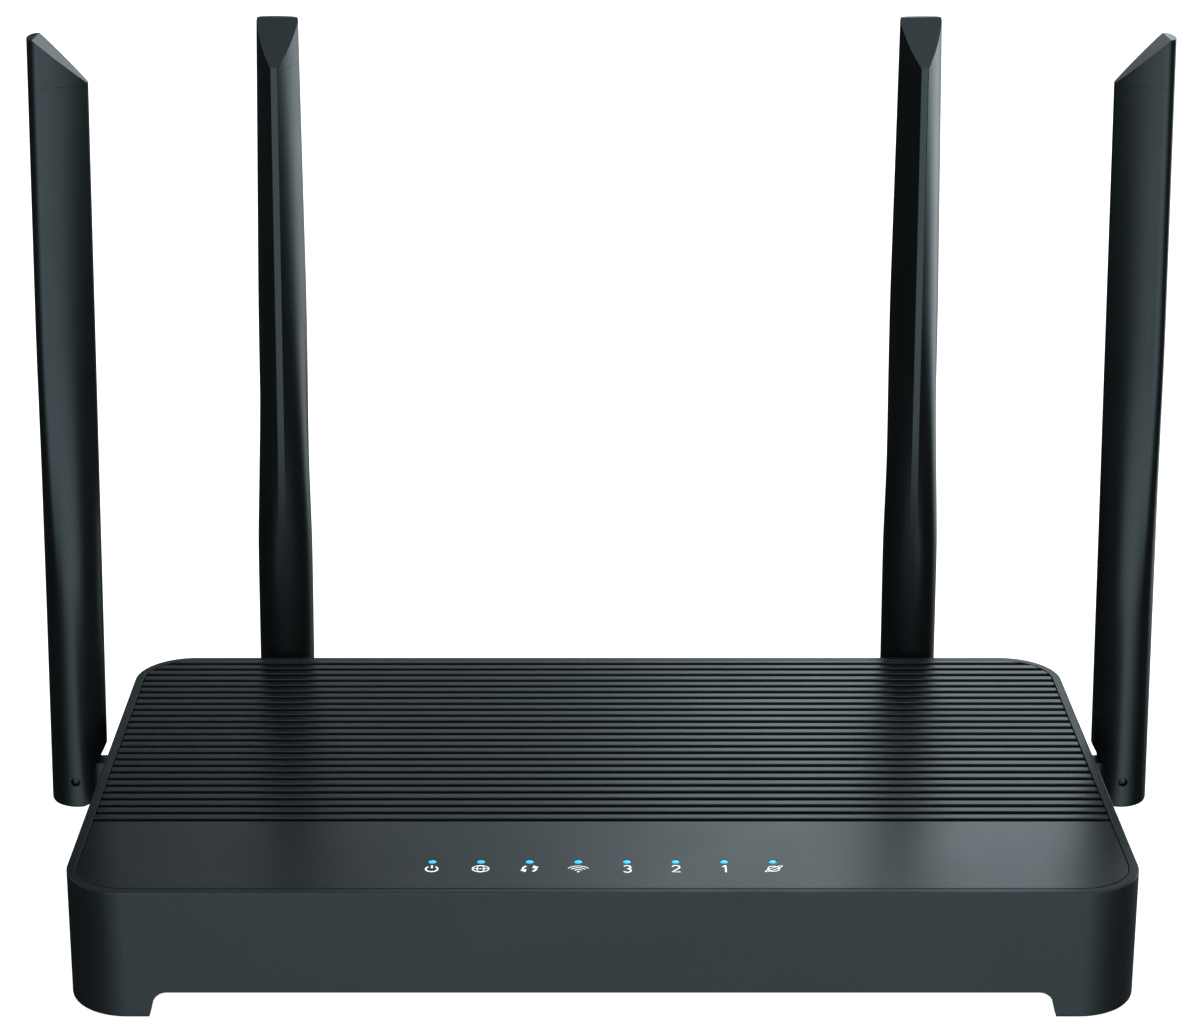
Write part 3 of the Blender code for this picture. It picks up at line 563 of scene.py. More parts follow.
def notch_outline(half_length):
    """The gap under a wall, seen square on: leaning sides and rounded upper corners."""
    corner = arc((0, NOTCH_TOP - NOTCH_RADIUS), NOTCH_RADIUS, FOOT_DRAFT, 90, 10)
    slope = math.tan(math.radians(FOOT_DRAFT))
    shift = half_length - slope * corner[0][1] - corner[0][0]
    right = [(half_length + slope * 2 * MM, -2 * MM)] + [(x + shift, z) for x, z in corner]
    return right + [(-x, z) for x, z in reversed(right)]


def case_profile():
    """(inset, height) round the wall's section: up the outside, over the rim, and down inside."""
    foot = arc((FOOT_FILLET, case_low.z + FOOT_FILLET), FOOT_FILLET, 270, 180, 4)
    top = arc((TOP_FILLET, TOP - TOP_FILLET), TOP_FILLET, 180, 90, 7)
    lip = arc((RIM - LIP_FILLET, TOP - LIP_FILLET), LIP_FILLET, 90, 0, 2)
    ledge_low = LEDGE_TOP - LEDGE_THICK
    ledge = [(RIM, LEDGE_TOP), (LEDGE_INSET, LEDGE_TOP), (LEDGE_INSET, ledge_low), (WALL, ledge_low)]
    return foot + top + lip + ledge + [(WALL, case_low.z)]


def jack_boxes():
    names = ("wan_jack", "lan_jack_1", "lan_jack_2", "lan_jack_3", "power_inlet")
    return {name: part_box(name) for name in names}


def button_boxes():
    return {name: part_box(name) for name in ("power_button", "wps_button")}


def rear_cutouts():
    margin = CUTOUT_MARGIN
    shapes = []
    for low, high in jack_boxes().values():
        corner = (high.x + margin, REAR + BEYOND, high.z + margin)
        shapes.append(box((low.x - margin, REAR - 2 * WALL, low.z - margin), corner))
    for name, (low, high) in button_boxes().items():
        centre = (low + high) / 2
        radius = CAP_RADII[name] + margin
        hole = turned([(radius, REAR - 2 * WALL), (radius, REAR + BEYOND)], (0, 1, 0), 32)
        shapes.append(moved(hole, (centre.x, 0, centre.z)))
    return shapes


def knuckle_frame(name):
    """Origin on the pin, x along it, y straight out of the wall."""
    pin = Vector(FOLDS[name]["pos_m"])
    x = -Vector(FOLDS[name]["axis"]).normalized()
    out = Vector((0, 1, 0))
    if abs(pin.x) > HALF_WIDTH:
        out = Vector((math.copysign(1, pin.x), 0, 0))
    turn = Matrix((x, out, x.cross(out))).transposed()
    return Matrix.Translation(pin) @ turn.to_4x4()


def antenna_frame(name):
    """The knuckle's frame, leaning a little towards the wall."""
    return knuckle_frame(name) @ Matrix.Rotation(LEAN, 4, "X")


def knuckle_holes():
    radius = NECK_RADIUS + NECK_GAP
    shapes = []
    for name in FOLDS:
        hole = turned([(radius, WALL_FACE - 2 * WALL), (radius, 1 * MM)], (0, 1, 0), 40)
        hole.transform(knuckle_frame(name))
        shapes.append(hole)
    return shapes


def make_case():
    rings = [[(x, y, z) for x, y in case_outline(inset)] for inset, z in case_profile()]
    shell = rings_mesh(rings, looped=True)
    case = piece("case_shell", shell, CASE, "case", ["upper_housing"])
    reach = HALF_WIDTH + FAR
    front_notch = notch_outline(HALF_WIDTH - FOOT_LENGTH)
    side_notch = notch_outline(HALF_DEPTH - FOOT_LENGTH)
    front_to_rear = [[(x, y, z) for x, z in front_notch] for y in (FRONT - FAR, REAR + FAR)]
    side_to_side = [[(x, MIDDLE + y, z) for y, z in side_notch] for x in (-reach, reach)]
    combine(case, rings_mesh(front_to_rear))
    combine(case, rings_mesh(side_to_side))
    combine(case, joined(rear_cutouts() + knuckle_holes()))
    soften(case, CASE_ROUNDING)


def cover_half_x(y):
    """Half the cover's width at y, following its round corners."""
    inset = RIM + RIM_GAP
    radius = CORNER_RADIUS - inset
    half_x, half_y = HALF_WIDTH - inset, HALF_DEPTH - inset
    into_corner = abs(y - MIDDLE) - (half_y - radius)
    if into_corner <= 0:
        return half_x
    return half_x - radius + math.sqrt(max(0.0, radius**2 - into_corner**2))


def groove_rows():
    """(y, height) across every groove, each with rounded lips and an arched floor."""
    rows = []
    for i in range(GROOVE_COUNT):
        centre = REAR - FIRST_GROOVE - i * RIB_PITCH
        half = GROOVE_WIDTH / 2
        left = arc((centre - half - RIB_FILLET, TOP - RIB_FILLET), RIB_FILLET, 90, 0, 3)
        bottom = TOP - GROOVE_DEPTH
        floor = [(centre - half + 0.05 * MM, bottom + 0.2 * MM), (centre - half * 0.6, bottom)]
        rows += left + floor
        rows += [(2 * centre - y, z) for y, z in reversed(left + floor)]
    return rows


def in_groove(y):
    reach = GROOVE_WIDTH / 2 + RIB_FILLET
    return any(abs(REAR - FIRST_GROOVE - i * RIB_PITCH - y) < reach for i in range(GROOVE_COUNT))


def cover_rows():
    """(y, height) of the cover's surface from front to rear: corners, grooves and the flat band."""
    inset = RIM + RIM_GAP
    radius = CORNER_RADIUS - inset
    half_y = HALF_DEPTH - inset
    rows = groove_rows()
    taken = [y for y, _ in rows]
    for step in range(CORNER_ROWS + 1):
        rise = radius * math.sin(math.radians(90 * step / CORNER_ROWS))
        for y in (MIDDLE - half_y + radius - rise, MIDDLE + half_y - radius + rise):
            clear = all(abs(y - other) > ROW_SPACING for other in taken)
            if clear and not in_groove(y):
                rows.append((y, TOP))
    return sorted(rows)


def keep_flat(mesh):
    """Sharpens the borders of the level faces, so that no round-over bends their shading."""
    bm = bmesh.new()
    bm.from_mesh(mesh)
    for edge in bm.edges:
        level = [face.normal.z > 0.9999 for face in edge.link_faces]
        if any(level) and not all(level):
            edge.smooth = False
    bm.to_mesh(mesh)
    bm.free()


def make_cover():
    """Inset cover as one grid over its rows, rounded over at its edges, with a plain underside."""
    edge = COVER_EDGE
    bm = bmesh.new()
    top_rows, low_rows = [], []
    rows = cover_rows()
    ends = (rows[0][0], rows[-1][0])
    for y, z in rows:
        half = cover_half_x(y)
        at_end = y in ends
        lip = edge * 0.5 if at_end else 0
        side = min(z, TOP - edge * 0.5)
        columns = [(-half, side), (-half + edge * 0.4, min(z, TOP - edge * 0.12)), (-half + edge, z)]
        columns += [(-x, height) for x, height in reversed(columns)]
        top_rows.append([bm.verts.new((x, y, height - lip)) for x, height in columns])
        low_rows.append([bm.verts.new((-half, y, cover_low.z)), bm.verts.new((half, y, cover_low.z))])
    for (a, c), (b, d) in zip(zip(top_rows, low_rows), zip(top_rows[1:], low_rows[1:])):
        for i in range(len(a) - 1):
            bm.faces.new((a[i], a[i + 1], b[i + 1], b[i]))
        bm.faces.new((c[0], a[0], b[0], d[0]))
        bm.faces.new((a[-1], c[1], d[1], b[-1]))
        bm.faces.new((c[1], c[0], d[0], d[1]))
    bm.faces.new(top_rows[0] + list(reversed(low_rows[0])))
    bm.faces.new(list(reversed(top_rows[-1])) + low_rows[-1])
    cover = piece("ribbed_cover", mesh_of(bm), COVER, "case", ["top_cover"])
    radius = LIGHT_RADIUS + LIGHT_GAP
    hole = [(radius, cover_low.z - 1 * MM), (radius, TOP + 1 * MM)]
    combine(cover, joined([moved(turned(hole, steps=32), (x, LIGHT_Y, 0)) for x in light_places()]))
    cover.data.shade_smooth()
    cover.data.set_sharp_from_angle(angle=SHARP_ANGLE)
    keep_flat(cover.data)


def light_places():
    return [LIGHT_PITCH * (i - (LIGHTS - 1) / 2) for i in range(LIGHTS)]


def make_lights():
    """One clear moulding: a bar under the cover, and a rod with a domed end in each hole."""
    low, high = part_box("light_guide")
    bar_high = cover_low.z - GUIDE_DROP
    bar = box(low, (high.x, high.y, bar_high))
    guide = piece("light_guide_lens", bar, LENS, "case", ["light_guide"])
    r = LIGHT_RADIUS
    dome = [(0.9 * r, TOP - 0.04 * MM), (0.55 * r, TOP - 0.01 * MM), (0.2 * r, TOP)]
    rod = [(r, bar_high - ROD_INTO_BAR), (r, TOP - 0.10 * MM)] + dome
    rods = [moved(turned(rod, steps=32), (x, LIGHT_Y, 0)) for x in light_places()]
    combine(guide, joined(rods), "UNION")
    guide.data.shade_smooth()
    guide.data.set_sharp_from_angle(angle=math.radians(50))


# Icons, drawn in the plane of the cover, in millimetres about each icon's own centre


def ribbon(points, width, closed=False):
    """Outline of a stroke along the points, as quads."""
    count = len(points)
    quads = []
    sides = []
    for i, (x, y) in enumerate(points):
        before = points[i - 1] if closed or i else points[i]
        after = points[(i + 1) % count] if closed or i < count - 1 else points[i]
        dx, dy = after[0] - before[0], after[1] - before[1]
        length = math.hypot(dx, dy)
        nx, ny = -dy / length * width / 2, dx / length * width / 2
        sides.append(((x + nx, y + ny), (x - nx, y - ny)))
    for i in range(count if closed else count - 1):
        (a, b), (c, d) = sides[i], sides[(i + 1) % count]
        quads.append([a, b, d, c])
    return quads


def disc(centre, radius, steps=20):
    return [arc(centre, radius, 0, 360 - 360 / steps, steps - 1)]


def power_icon():
    ring = arc((0, -0.1), 1.22, 128, 412, 28)
    return ribbon(ring, 0.34) + ribbon([(0, 0.25), (0, 1.5)], 0.36)


def globe_icon():
    outer = ribbon(ellipse(1.7, 1.4, 24), 0.24, closed=True)
    meridian = ribbon(ellipse(0.75, 1.4, 24), 0.16, closed=True)
    return outer + meridian + ribbon([(-1.6, 0), (1.6, 0)], 0.18)


def pairing_icon():
    """Two arrows that chase each other round a circle."""
    shapes = []
    for half in (0, 180):
        shapes += ribbon(arc((0, 0), 1.35, half - 62, half + 18, 12), 0.42)
        tip = math.radians(half + 18)
        out = Vector((math.cos(tip), math.sin(tip)))
        ahead = Vector((-math.sin(tip), math.cos(tip)))
        corners = (out * 2.05, out * 1.25 + ahead * 1.15, out * 0.60)
        shapes.append([tuple(corner) for corner in corners])
    return shapes


def wireless_icon():
    shapes = disc((0, -1.3), 0.26)
    for radius in (0.95, 1.75, 2.55):
        shapes += ribbon(arc((0, -1.3), radius, 36, 144, 16), 0.21)
    return shapes


def planet_icon():
    """A globe with a ring round it."""
    tilt = math.radians(36)
    along, across = math.cos(tilt), math.sin(tilt)
    ring = [(x * along - y * across, x * across + y * along) for x, y in ellipse(2.25, 0.42, 32)]
    globe = ribbon(arc((0, 0), 1.18, 0, 345, 23), 0.22, closed=True)
    return globe + ribbon(ring, 0.18, closed=True)


def digit_three():
    upper = arc((0, 0.72), 0.72, 150, -90, 14)
    lower = arc((0, -0.78), 0.80, 90, -150, 14)
    return ribbon(upper + lower[1:], 0.34)


def digit_two():
    bowl = arc((0, 0.72), 0.76, 165, -35, 12)
    return ribbon(bowl + [(-0.80, -1.42), (0.88, -1.42)], 0.34)


def digit_one():
    return ribbon([(0.18, -1.55), (0.18, 1.45)], 0.36) + ribbon([(-0.50, 0.90), (0.18, 1.38)], 0.32)


def ink_mesh(shapes):
    """Thin raised print from flat shapes, given in millimetres."""
    bm = bmesh.new()
    heights = (TOP - INK_SUNK, TOP + INK_THICK)
    for shape in shapes:
        lower, upper = [[bm.verts.new((x * MM, y * MM, z)) for x, y in shape] for z in heights]
        bm.faces.new(lower)
        bm.faces.new(upper)
        for i in range(len(shape)):
            j = (i + 1) % len(shape)
            bm.faces.new((lower[i], lower[j], upper[j], upper[i]))
    return mesh_of(bm)


def make_icons():
    icons = [
        ("power", power_icon()),
        ("globe", globe_icon()),
        ("pairing", pairing_icon()),
        ("wireless", wireless_icon()),
        ("port_3", digit_three()),
        ("port_2", digit_two()),
        ("port_1", digit_one()),
        ("planet", planet_icon()),
    ]
    for (name, shapes), x in zip(icons, light_places()):
        mesh = moved(ink_mesh(shapes), (x, ICON_Y, 0))
        piece("icon_" + name, mesh, INK, "case")


# Antennas


def antenna_width(z):
    along = max(0.0, (z - TAPER_FROM) / (ANTENNA_TOP - TAPER_FROM))
    return BASE_WIDTH + (TIP_WIDTH - BASE_WIDTH) * along


def faceted_half(width, bulge):
    """Right half of the ridged section, from the ridge (-y) to the middle of the back (+y)."""
    centre = (width / 2 - BACK_RADIUS, HALF_DEEP - BACK_RADIUS - BACK_CROWN)
    slope = math.atan2(centre[1] + HALF_DEEP, width / 2 - RIDGE_HALF)
    outward = math.degrees(slope) - 90
    ridge_centre = (RIDGE_HALF - 0.5 * RIDGE_FILLET, RIDGE_FILLET - HALF_DEEP)
    ridge = [(0, -HALF_DEEP), (0.4 * RIDGE_HALF, -HALF_DEEP)]
    ridge += arc(ridge_centre, RIDGE_FILLET, -90, outward, 4)
    corner = arc(centre, BACK_RADIUS, outward, 84, 9)
    start, end = ridge[-1], corner[0]
    flank = []
    for step in range(1, 12):
        t = step / 12
        crown = bulge * 4 * t * (1 - t)
        x = start[0] + (end[0] - start[0]) * t + crown * math.cos(math.radians(outward))
        y = start[1] + (end[1] - start[1]) * t + crown * math.sin(math.radians(outward))
        flank.append((x, y))
    side, drop = corner[-1][0], HALF_DEEP - corner[-1][1]
    back = [(side * t, HALF_DEEP - drop * t * t) for t in (0.66, 0.33, 0)]
    return ridge + flank + corner + back


def section(z, inset=0.0):
    """Outline at a height: round at the foot, ridged with flat flanks higher up."""
    t = min(1.0, max(0.0, (z - ROUND_UP_TO) / (FACETED_FROM - ROUND_UP_TO)))
    faceted = t * t * (3 - 2 * t)
    width = antenna_width(z)
    bulge = FLANK_CROWN * (1 + min(1.0, (ANTENNA_TOP - z) / CROWN_GROWTH))
    shrink = 1 - inset / HALF_DEEP
    half = []
    for x, y in faceted_half(width, bulge):
        bearing = math.atan2(x, -y)
        round_x = width / 2 * math.sin(bearing)
        round_y = -HALF_DEEP * math.cos(bearing)
        blend_x = round_x + (x - round_x) * faceted
        blend_y = round_y + (y - round_y) * faceted
        half.append((shrink * blend_x, shrink * blend_y))
    outline = half + [(-x, y) for x, y in reversed(half[1:-1])]
    return [(x, y, z) for x, y in outline]


def foot_cut():
    """Side view of the relief under the ridge and the clearance for the fold."""
    ridge = -HALF_DEEP
    inner = ridge + RELIEF_DEPTH
    first = math.degrees(math.acos(-inner / SWING_RADIUS))
    last = math.degrees(math.asin(-ANTENNA_LOW / SWING_RADIUS))
    swing = [(-y, -z) for y, z in arc((0, 0), SWING_RADIUS, first, last, 8)]
    slope = (RELIEF_TOP - RELIEF_FULL) / RELIEF_DEPTH
    outline = [(ridge - MM, RELIEF_TOP + slope * MM), (inner, RELIEF_FULL)] + swing
    return outline + [(swing[-1][0], -12 * MM), (ridge - MM, -12 * MM)]


def make_antenna_shell(name):
    rings = [section(ANTENNA_LOW + rise * MM, inset * MM) for inset, rise in FOOT_ROUND]
    low = ANTENNA_LOW + FOOT_ROUND[-1][1] * MM
    for i in range(1, SHELL_RINGS + 1):
        rings.append(section(low + (TIP_JOINT + SEAM_OVERLAP - low) * i / SHELL_RINGS))
    shell = piece(
        "antenna_" + name,
        rings_mesh(rings),
        ANTENNA,
        "antenna_" + name,
        ["antenna_shell_" + name],
        antenna_frame(name),
    )
    combine(shell, extruded_x(foot_cut(), FAR))
    slot = TONGUE_RADIUS + TONGUE_SLOT_GAP
    half = TONGUE_HALF + TONGUE_SIDE_GAP
    combine(shell, box((-half, -FAR, -FAR), (half, slot, slot)))
    combine(shell, turned([(PIN_BORE, -FAR), (PIN_BORE, FAR)], (1, 0, 0), 32))
    soften(shell, SHELL_ROUNDING, angle=34)
    above = TIP_JOINT - SEAM / 2
    combine(shell, box((-FAR, -FAR, above), (FAR, FAR, above + BEYOND)))
    shade(shell)


def make_antenna_tip(name):
    low = TIP_JOINT - SEAM_OVERLAP
    rings = [section(low + (ANTENNA_TOP - low) * i / TIP_RINGS) for i in range(TIP_RINGS + 1)]
    tip = piece(
        "antenna_cap_" + name,
        rings_mesh(rings),
        ANTENNA,
        "antenna_" + name,
        ["antenna_tip_" + name],
        antenna_frame(name),
    )
    flat = HALF_DEEP - TIP_FLAT
    reach = 3 * MM
    rise = reach * SLANT_DROP / (flat + HALF_DEEP)
    slant = [
        (-HALF_DEEP - reach, ANTENNA_TOP - SLANT_DROP - rise),
        (flat + reach, ANTENNA_TOP + rise),
        (-HALF_DEEP - reach, ANTENNA_TOP + rise),
    ]
    combine(tip, extruded_x(slant, FAR))
    soften(tip, TIP_ROUNDING, angle=34)
    below = TIP_JOINT + SEAM / 2
    combine(tip, box((-FAR, -FAR, below - BEYOND), (FAR, FAR, below)))
    shade(tip)


def make_knuckle(name):
    """Neck with a clip behind the wall, collar and disc in front of it, and the antenna's tongue."""
    clip = WALL_FACE - WALL - CLIP_GAP
    profile = [
        (NECK_RADIUS, NECK_END),
        (NECK_RADIUS, clip - CLIP_THICK),
        (CLIP_RADIUS, clip - CLIP_THICK),
        (CLIP_RADIUS, clip),
        (NECK_RADIUS, clip),
        (NECK_RADIUS, WALL_FACE + COLLAR_GAP),
        (COLLAR_RADIUS, WALL_FACE + COLLAR_GAP),
        (COLLAR_RADIUS, COLLAR_FACE - COLLAR_EDGE),
        (COLLAR_RADIUS - COLLAR_EDGE, COLLAR_FACE),
        (DISC_RADIUS, COLLAR_FACE),
    ]
    profile += arc((DISC_RADIUS - DISC_EDGE, DISC_FACE - DISC_EDGE), DISC_EDGE, 0, 90, 5)
    knuckle = piece(
        "knuckle_part_" + name,
        turned(profile, (0, 1, 0), 64),
        KNUCKLE,
        "knuckle_" + name,
        ["knuckle_" + name],
        knuckle_frame(name),
    )
    root = DISC_FACE - 0.6 * MM
    tongue = [(root, -TONGUE_RADIUS)] + arc((0, 0), TONGUE_RADIUS, -90, 90, 24) + [(root, TONGUE_RADIUS)]
    combine(knuckle, extruded_x(tongue, TONGUE_HALF), "UNION")
    combine(knuckle, turned([(KNUCKLE_BORE, -FAR), (KNUCKLE_BORE, FAR)], (1, 0, 0), 32))
    soften(knuckle, KNUCKLE_ROUNDING, angle=34)


def make_hinge_pin(name):
    """Pin set a little below the antenna's surface, with a domed end that leaves a dimple."""
    r = PIN_RADIUS
    end = [
        (0.3 * r, PIN_HALF),
        (0.7 * r, PIN_HALF - 0.08 * MM),
        (0.92 * r, PIN_HALF - 0.22 * MM),
        (r, PIN_HALF - 0.45 * MM),
    ]
    profile = [(radius, -height) for radius, height in end] + list(reversed(end))
    piece(
        "hinge_pin_part_" + name,
        turned(profile, (1, 0, 0), 32),
        KNUCKLE,
        "antenna_" + name,
        ["hinge_pin_" + name],
        antenna_frame(name),
    )


def make_antennas():
    for name in FOLDS:
        make_antenna_shell(name)
        make_antenna_tip(name)
        make_knuckle(name)
        make_hinge_pin(name)


# Rear panel


def make_network_jack(name, finish):
    low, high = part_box(name)
    jack = piece(name + "_socket", box(low, high), finish, "case", [name])
    x = (low.x + high.x) / 2
    back, front = low.y + JACK_BACK, high.y + BEYOND
    mouth_low, mouth_high = low.z + MOUTH_LOW, low.z + MOUTH_HIGH
    latch_low, latch_high = low.z + LATCH_LOW, low.z + LATCH_HIGH
    combine(jack, box((x - MOUTH_HALF, back, mouth_low), (x + MOUTH_HALF, front, mouth_high)))
    combine(jack, box((x - LATCH_HALF, back, latch_low), (x + LATCH_HALF, front, latch_high)))
    soften(jack, JACK_ROUNDING, angle=34)
    wires = []
    for i in range(CONTACTS):
        at = x + (i - (CONTACTS - 1) / 2) * CONTACT_PITCH
        wires.append(contact_wire(at, high.y, low.z + CONTACT_ROOF))
    piece(name + "_contacts", joined(wires), GOLD, "case")


def contact_wire(x, face, roof):
    """A sprung contact that leans down from the socket's roof towards its back."""
    path = [
        (face - 2.0 * MM, roof),
        (face - 3.2 * MM, roof - 0.6 * MM),
        (face - 9.5 * MM, roof - 3.2 * MM),
        (face - 10.5 * MM, roof - 3.3 * MM),
    ]
    left, right = x - CONTACT_HALF, x + CONTACT_HALF
    rings = []
    for y, z in path:
        low = z - CONTACT_THICK
        rings.append([(left, y, z), (right, y, z), (right, y, low), (left, y, low)])
    return rings_mesh(rings)


def make_power_inlet():
    low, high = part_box("power_inlet")
    inlet = piece("power_inlet_socket", box(low, high), JACK, "case", ["power_inlet"])
    x, z = (low.x + high.x) / 2, (low.z + high.z) / 2
    bore = [
        (INLET_BORE, high.y - INLET_DEPTH),
        (INLET_BORE, high.y - 0.5 * MM),
        (INLET_MOUTH, high.y + 0.1 * MM),
        (INLET_MOUTH, high.y + BEYOND),
    ]
    combine(inlet, moved(turned(bore, (0, 1, 0)), (x, 0, z)))
    soften(inlet, INLET_ROUNDING, angle=40)
    tip = high.y - 1.0 * MM
    pin = [
        (INLET_PIN, high.y - INLET_DEPTH - 1.0 * MM),
        (INLET_PIN, tip - 0.4 * MM),
        (0.75 * INLET_PIN, tip - 0.08 * MM),
        (0.3 * INLET_PIN, tip),
    ]
    piece("power_inlet_contact", moved(turned(pin, (0, 1, 0), 32), (x, 0, z)), STEEL, "case")


def make_button(name):
    low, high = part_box(name)
    x, z = (low.x + high.x) / 2, (low.z + high.z) / 2
    radius = CAP_RADII[name]
    flange = radius + FLANGE_REACH
    shoulder = REAR - WALL - FLANGE_GAP
    under = shoulder - FLANGE_THICK
    profile = [(radius * 0.5, low.y), (radius * 0.5, under), (flange, under)]
    profile += [(flange, shoulder), (radius, shoulder)]
    profile += arc((radius - CAP_FILLET, high.y - CAP_FILLET), CAP_FILLET, 0, 90, 6)
    profile += [(radius * 0.6, high.y - 0.05 * MM), (radius * 0.25, high.y - 0.22 * MM)]
    cap = moved(turned(profile, (0, 1, 0)), (x, 0, z))
    piece(name + "_cap", cap, BUTTON, name, [name])


def make_rear_panel():
    make_network_jack("wan_jack", WAN_JACK)
    for number in (1, 2, 3):
        make_network_jack(f"lan_jack_{number}", JACK)
    make_power_inlet()
    make_button("power_button")
    make_button("wps_button")


# Underside


def make_base():
    plate = prism(case_outline(WALL + PLATE_GAP), PLATE_LOW, PLATE_HIGH)
    base = piece("base_floor", plate, CASE, "case", ["base_plate"])
    legs = [(LEG_RADIUS, plate_low.z), (LEG_RADIUS, (PLATE_LOW + PLATE_HIGH) / 2)]
    places = foot_places()
    combine(base, joined([moved(turned(legs), (x, y, 0)) for x, y in places]), "UNION")
    slots = []
    for side in (-1, 1):
        for i in range(VENTS):
            x = side * (VENT_FIRST + VENT_PITCH * i)
            outline = rounded_rectangle(VENT_HALF_WIDTH, VENT_HALF_LENGTH, VENT_RADIUS, 6)
            slots.append(moved(prism(outline, 0, TOP), (x, MIDDLE - VENT_SHIFT, 0)))
    for name in ("rear_left", "rear_right"):
        x = FOLDS[name]["pos_m"][0]
        near = (x - NECK_ROOM_HALF, REAR - NECK_ROOM_DEPTH, 0)
        slots.append(box(near, (x + NECK_ROOM_HALF, REAR, TOP)))
    combine(base, joined(slots))
    bore = [(SCREW_BORE, 0), (SCREW_BORE, SCREW_BORE_TOP)]
    combine(base, joined([moved(turned(bore, steps=32), (x, y, 0)) for x, y in places]))
    soften(base, PLATE_ROUNDING, angle=34)


def foot_places():
    places = []
    for corner in FOOT_CORNERS:
        low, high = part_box("rubber_foot_" + corner)
        places.append(((low.x + high.x) / 2, (low.y + high.y) / 2))
    return places


def make_feet():
    low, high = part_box("rubber_foot_front_left")
    radius = (high.x - low.x) / 2
    for corner, (x, y) in zip(FOOT_CORNERS, foot_places()):
        sole = [(1.2 * MM, 0.35 * MM), (1.6 * MM, 0.05 * MM), (2.0 * MM, 0)]
        edge = arc((radius - 0.5 * MM, 0.5 * MM), 0.5 * MM, -90, 0, 5)
        profile = sole + edge + [(radius, high.z - 0.1 * MM), (radius - 0.1 * MM, high.z)]
        mesh = moved(turned(profile), (x, y, 0))
        piece("foot_pad_" + corner, mesh, RUBBER, "case", ["rubber_foot_" + corner])


# CAD nodes that keep their own shape and only take a finish

KEPT = {
    "main_board": BOARD,
    "processor": CHIP,
    "memory_chip": CHIP,
    "network_transformer_1": CHIP,
    "network_transformer_2": CHIP,
    "power_switch": CHIP,
    "wps_switch": CHIP,
    "wifi_shield": TIN,
    "heat_sink": ALUMINIUM,
    "filter_capacitor": ALUMINIUM,
}


def finish_kept_nodes():
    finishes = dict(KEPT)
    for name in frame["nodes"]:
        if name.startswith(("case_screw", "board_screw")):
            finishes[name] = STEEL
        elif name.startswith("radiator"):
            finishes[name] = COPPER
        elif name.startswith("coax_lead"):
            finishes[name] = SHEATH
    for name, finish in finishes.items():
        obj = frame["nodes"][name]
        obj.data.materials.clear()
        obj.data.materials.append(finish)


# Studio


def make_floor():
    """Pale paper, bright enough to hide shadows, and left out of the reflections in the plastic."""
    mesh = bpy.data.meshes.new("floor")
    reach = FLOOR_REACH
    corners = [(-reach, -reach, 0), (reach, -reach, 0), (reach, reach, 0), (-reach, reach, 0)]
    mesh.from_pydata(corners, [], [(0, 1, 2, 3)])
    floor = bpy.data.objects.new("floor", mesh)
    bpy.context.scene.collection.objects.link(floor)
    nodes = Nodes("floor_pale")
    cloud = nodes.ramp(nodes.object_noise(2, 2), 0, 1)
    tone = nodes.mix(cloud, (0.90, 0.90, 0.90), (0.94, 0.94, 0.94))
    nodes.link(tone, nodes.shader.inputs["Base Color"])
    nodes.shader.inputs["Emission Color"].default_value = (1, 1, 1, 1)
    nodes.shader.inputs["Emission Strength"].default_value = FLOOR_GLOW
    nodes.shader.inputs["Roughness"].default_value = 0.9
    nodes.shader.inputs["Specular IOR Level"].default_value = 0.1
    mesh.materials.append(nodes.material)
    floor.visible_glossy = False
    floor.visible_diffuse = False
    floor.visible_shadow = False


def math_node(nodes, operation, first, second=None):
    """A Math node on sockets or plain numbers."""
    node = nodes.new("ShaderNodeMath")
    node.operation = operation
    for socket, value in zip(node.inputs, (first, second)):
        if value is None:
            continue
        if isinstance(value, (int, float)):
            socket.default_value = value
        else:
            node.id_data.links.new(value, socket)
    return node.outputs[0]


def fade(nodes, value, start, end):
    """1 up to start, falling smoothly to 0 at the end."""
    node = nodes.new("ShaderNodeMapRange")
    node.interpolation_type = "SMOOTHSTEP"
    node.inputs["From Min"].default_value = start
    node.inputs["From Max"].default_value = end
    node.inputs["To Min"].default_value = 1
    node.inputs["To Max"].default_value = 0
    node.id_data.links.new(value, node.inputs["Value"])
    return node.outputs["Result"]


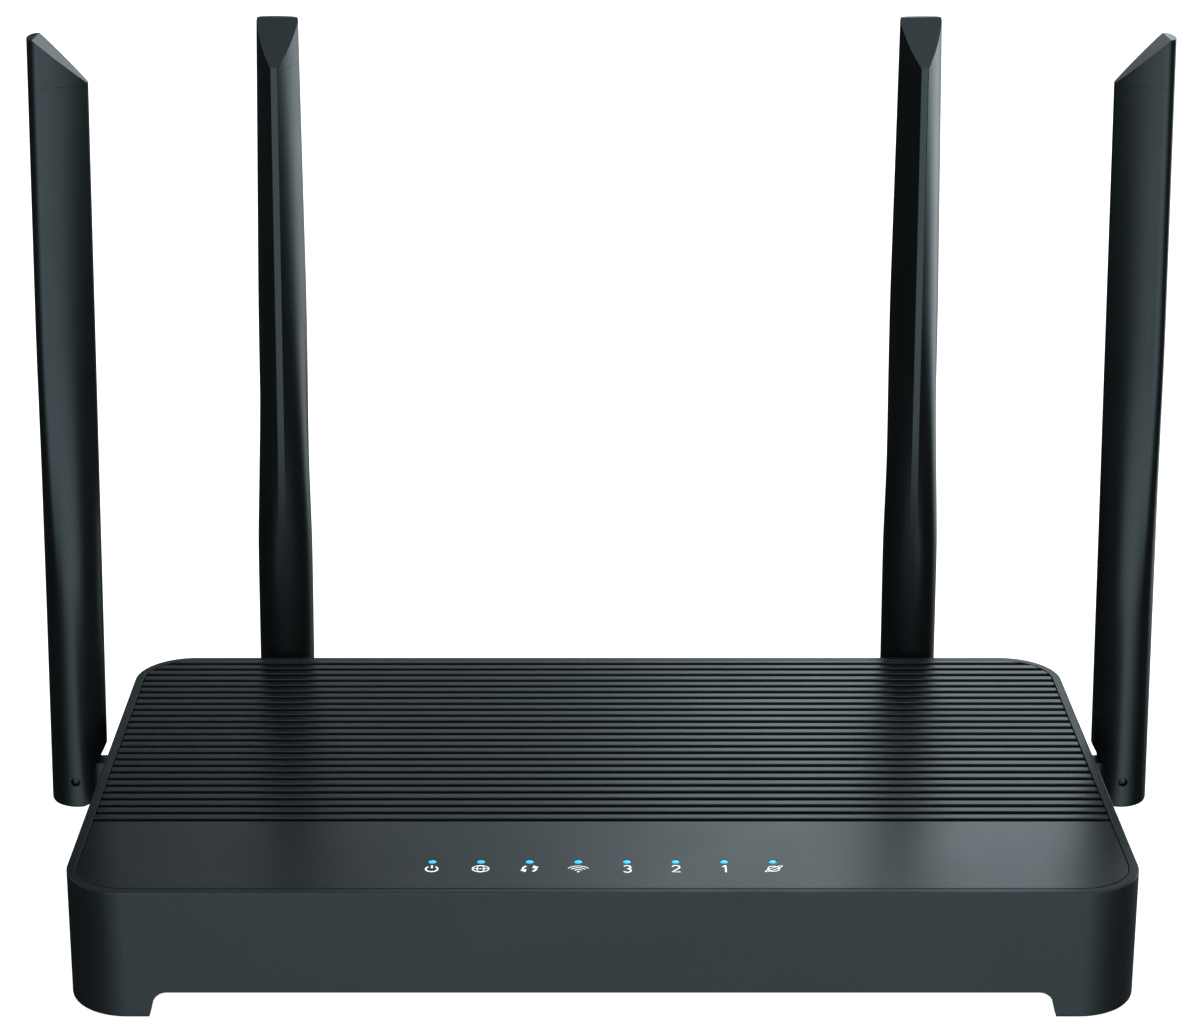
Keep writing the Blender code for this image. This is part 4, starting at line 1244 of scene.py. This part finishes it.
def make_world():
    """White to the eye, and to the plastic a dim room with a few broad glows."""
    world = bpy.data.worlds.new("studio")
    bpy.context.scene.world = world
    world.use_nodes = True
    tree = world.node_tree
    nodes, links = tree.nodes, tree.links
    place = nodes.new("ShaderNodeTexCoord")
    parts = nodes.new("ShaderNodeSeparateXYZ")
    links.new(place.outputs["Generated"], parts.inputs[0])
    x, y, z = parts.outputs
    azimuth = math_node(nodes, "ARCTAN2", x, math_node(nodes, "MULTIPLY", y, -1))
    height = math_node(nodes, "ARCSINE", z)
    total = None
    for (middle, half, soft), (low, high, soft_height), strength in GLOWS:
        turn = math_node(nodes, "SUBTRACT", azimuth, math.radians(middle))
        away = math_node(nodes, "ABSOLUTE", turn)
        across = fade(nodes, away, math.radians(half), math.radians(half + soft))
        centre, reach = math.radians(low + high) / 2, math.radians(high - low) / 2
        off = math_node(nodes, "ABSOLUTE", math_node(nodes, "SUBTRACT", height, centre))
        up = fade(nodes, off, reach, reach + math.radians(soft_height))
        glow = math_node(nodes, "MULTIPLY", math_node(nodes, "MULTIPLY", across, up), strength)
        total = glow if total is None else math_node(nodes, "ADD", total, glow)
    total = math_node(nodes, "ADD", total, SURROUNDINGS)
    to_eye = nodes.new("ShaderNodeLightPath").outputs["Is Camera Ray"]
    mix = nodes.new("ShaderNodeMix")
    links.new(to_eye, mix.inputs["Factor"])
    links.new(total, mix.inputs["A"])
    mix.inputs["B"].default_value = 1.0
    links.new(mix.outputs["Result"], nodes["Background"].inputs["Strength"])
    tint = nodes.new("ShaderNodeMix")
    tint.data_type = "RGBA"
    links.new(to_eye, tint.inputs["Factor"])
    tint.inputs["A"].default_value = (*LIGHT_COLOUR, 1)
    tint.inputs["B"].default_value = (1, 1, 1, 1)
    links.new(tint.outputs["Result"], nodes["Background"].inputs["Color"])


def make_softboxes():
    for name, (place, aim, size, power) in SOFTBOXES.items():
        light = bpy.data.lights.new(name, "AREA")
        light.shape = "RECTANGLE"
        light.size, light.size_y = size
        light.energy = power
        light.color = LIGHT_COLOUR
        obj = bpy.data.objects.new(name, light)
        bpy.context.scene.collection.objects.link(obj)
        obj.location = place
        obj.rotation_mode = "QUATERNION"
        obj.rotation_quaternion = (Vector(aim) - Vector(place)).to_track_quat("-Z", "Y")
        obj.visible_camera = False


def make_camera():
    camera = bpy.data.objects.new("camera", bpy.data.cameras.new("camera"))
    bpy.context.scene.collection.objects.link(camera)
    camera.location = CAMERA_PLACE
    camera.rotation_euler = (math.pi / 2 - CAMERA_TILT, 0, 0)
    camera.data.lens = CAMERA_LENS
    camera.data.shift_x, camera.data.shift_y = CAMERA_SHIFT
    camera.data.clip_start = 0.05  # metres
    bpy.context.scene.camera = camera
    bpy.context.scene.view_settings.view_transform = "Standard"


make_case()
make_cover()
make_lights()
make_icons()
make_antennas()
make_rear_panel()
make_base()
make_feet()
finish_kept_nodes()
make_floor()
make_world()
make_softboxes()
make_camera()
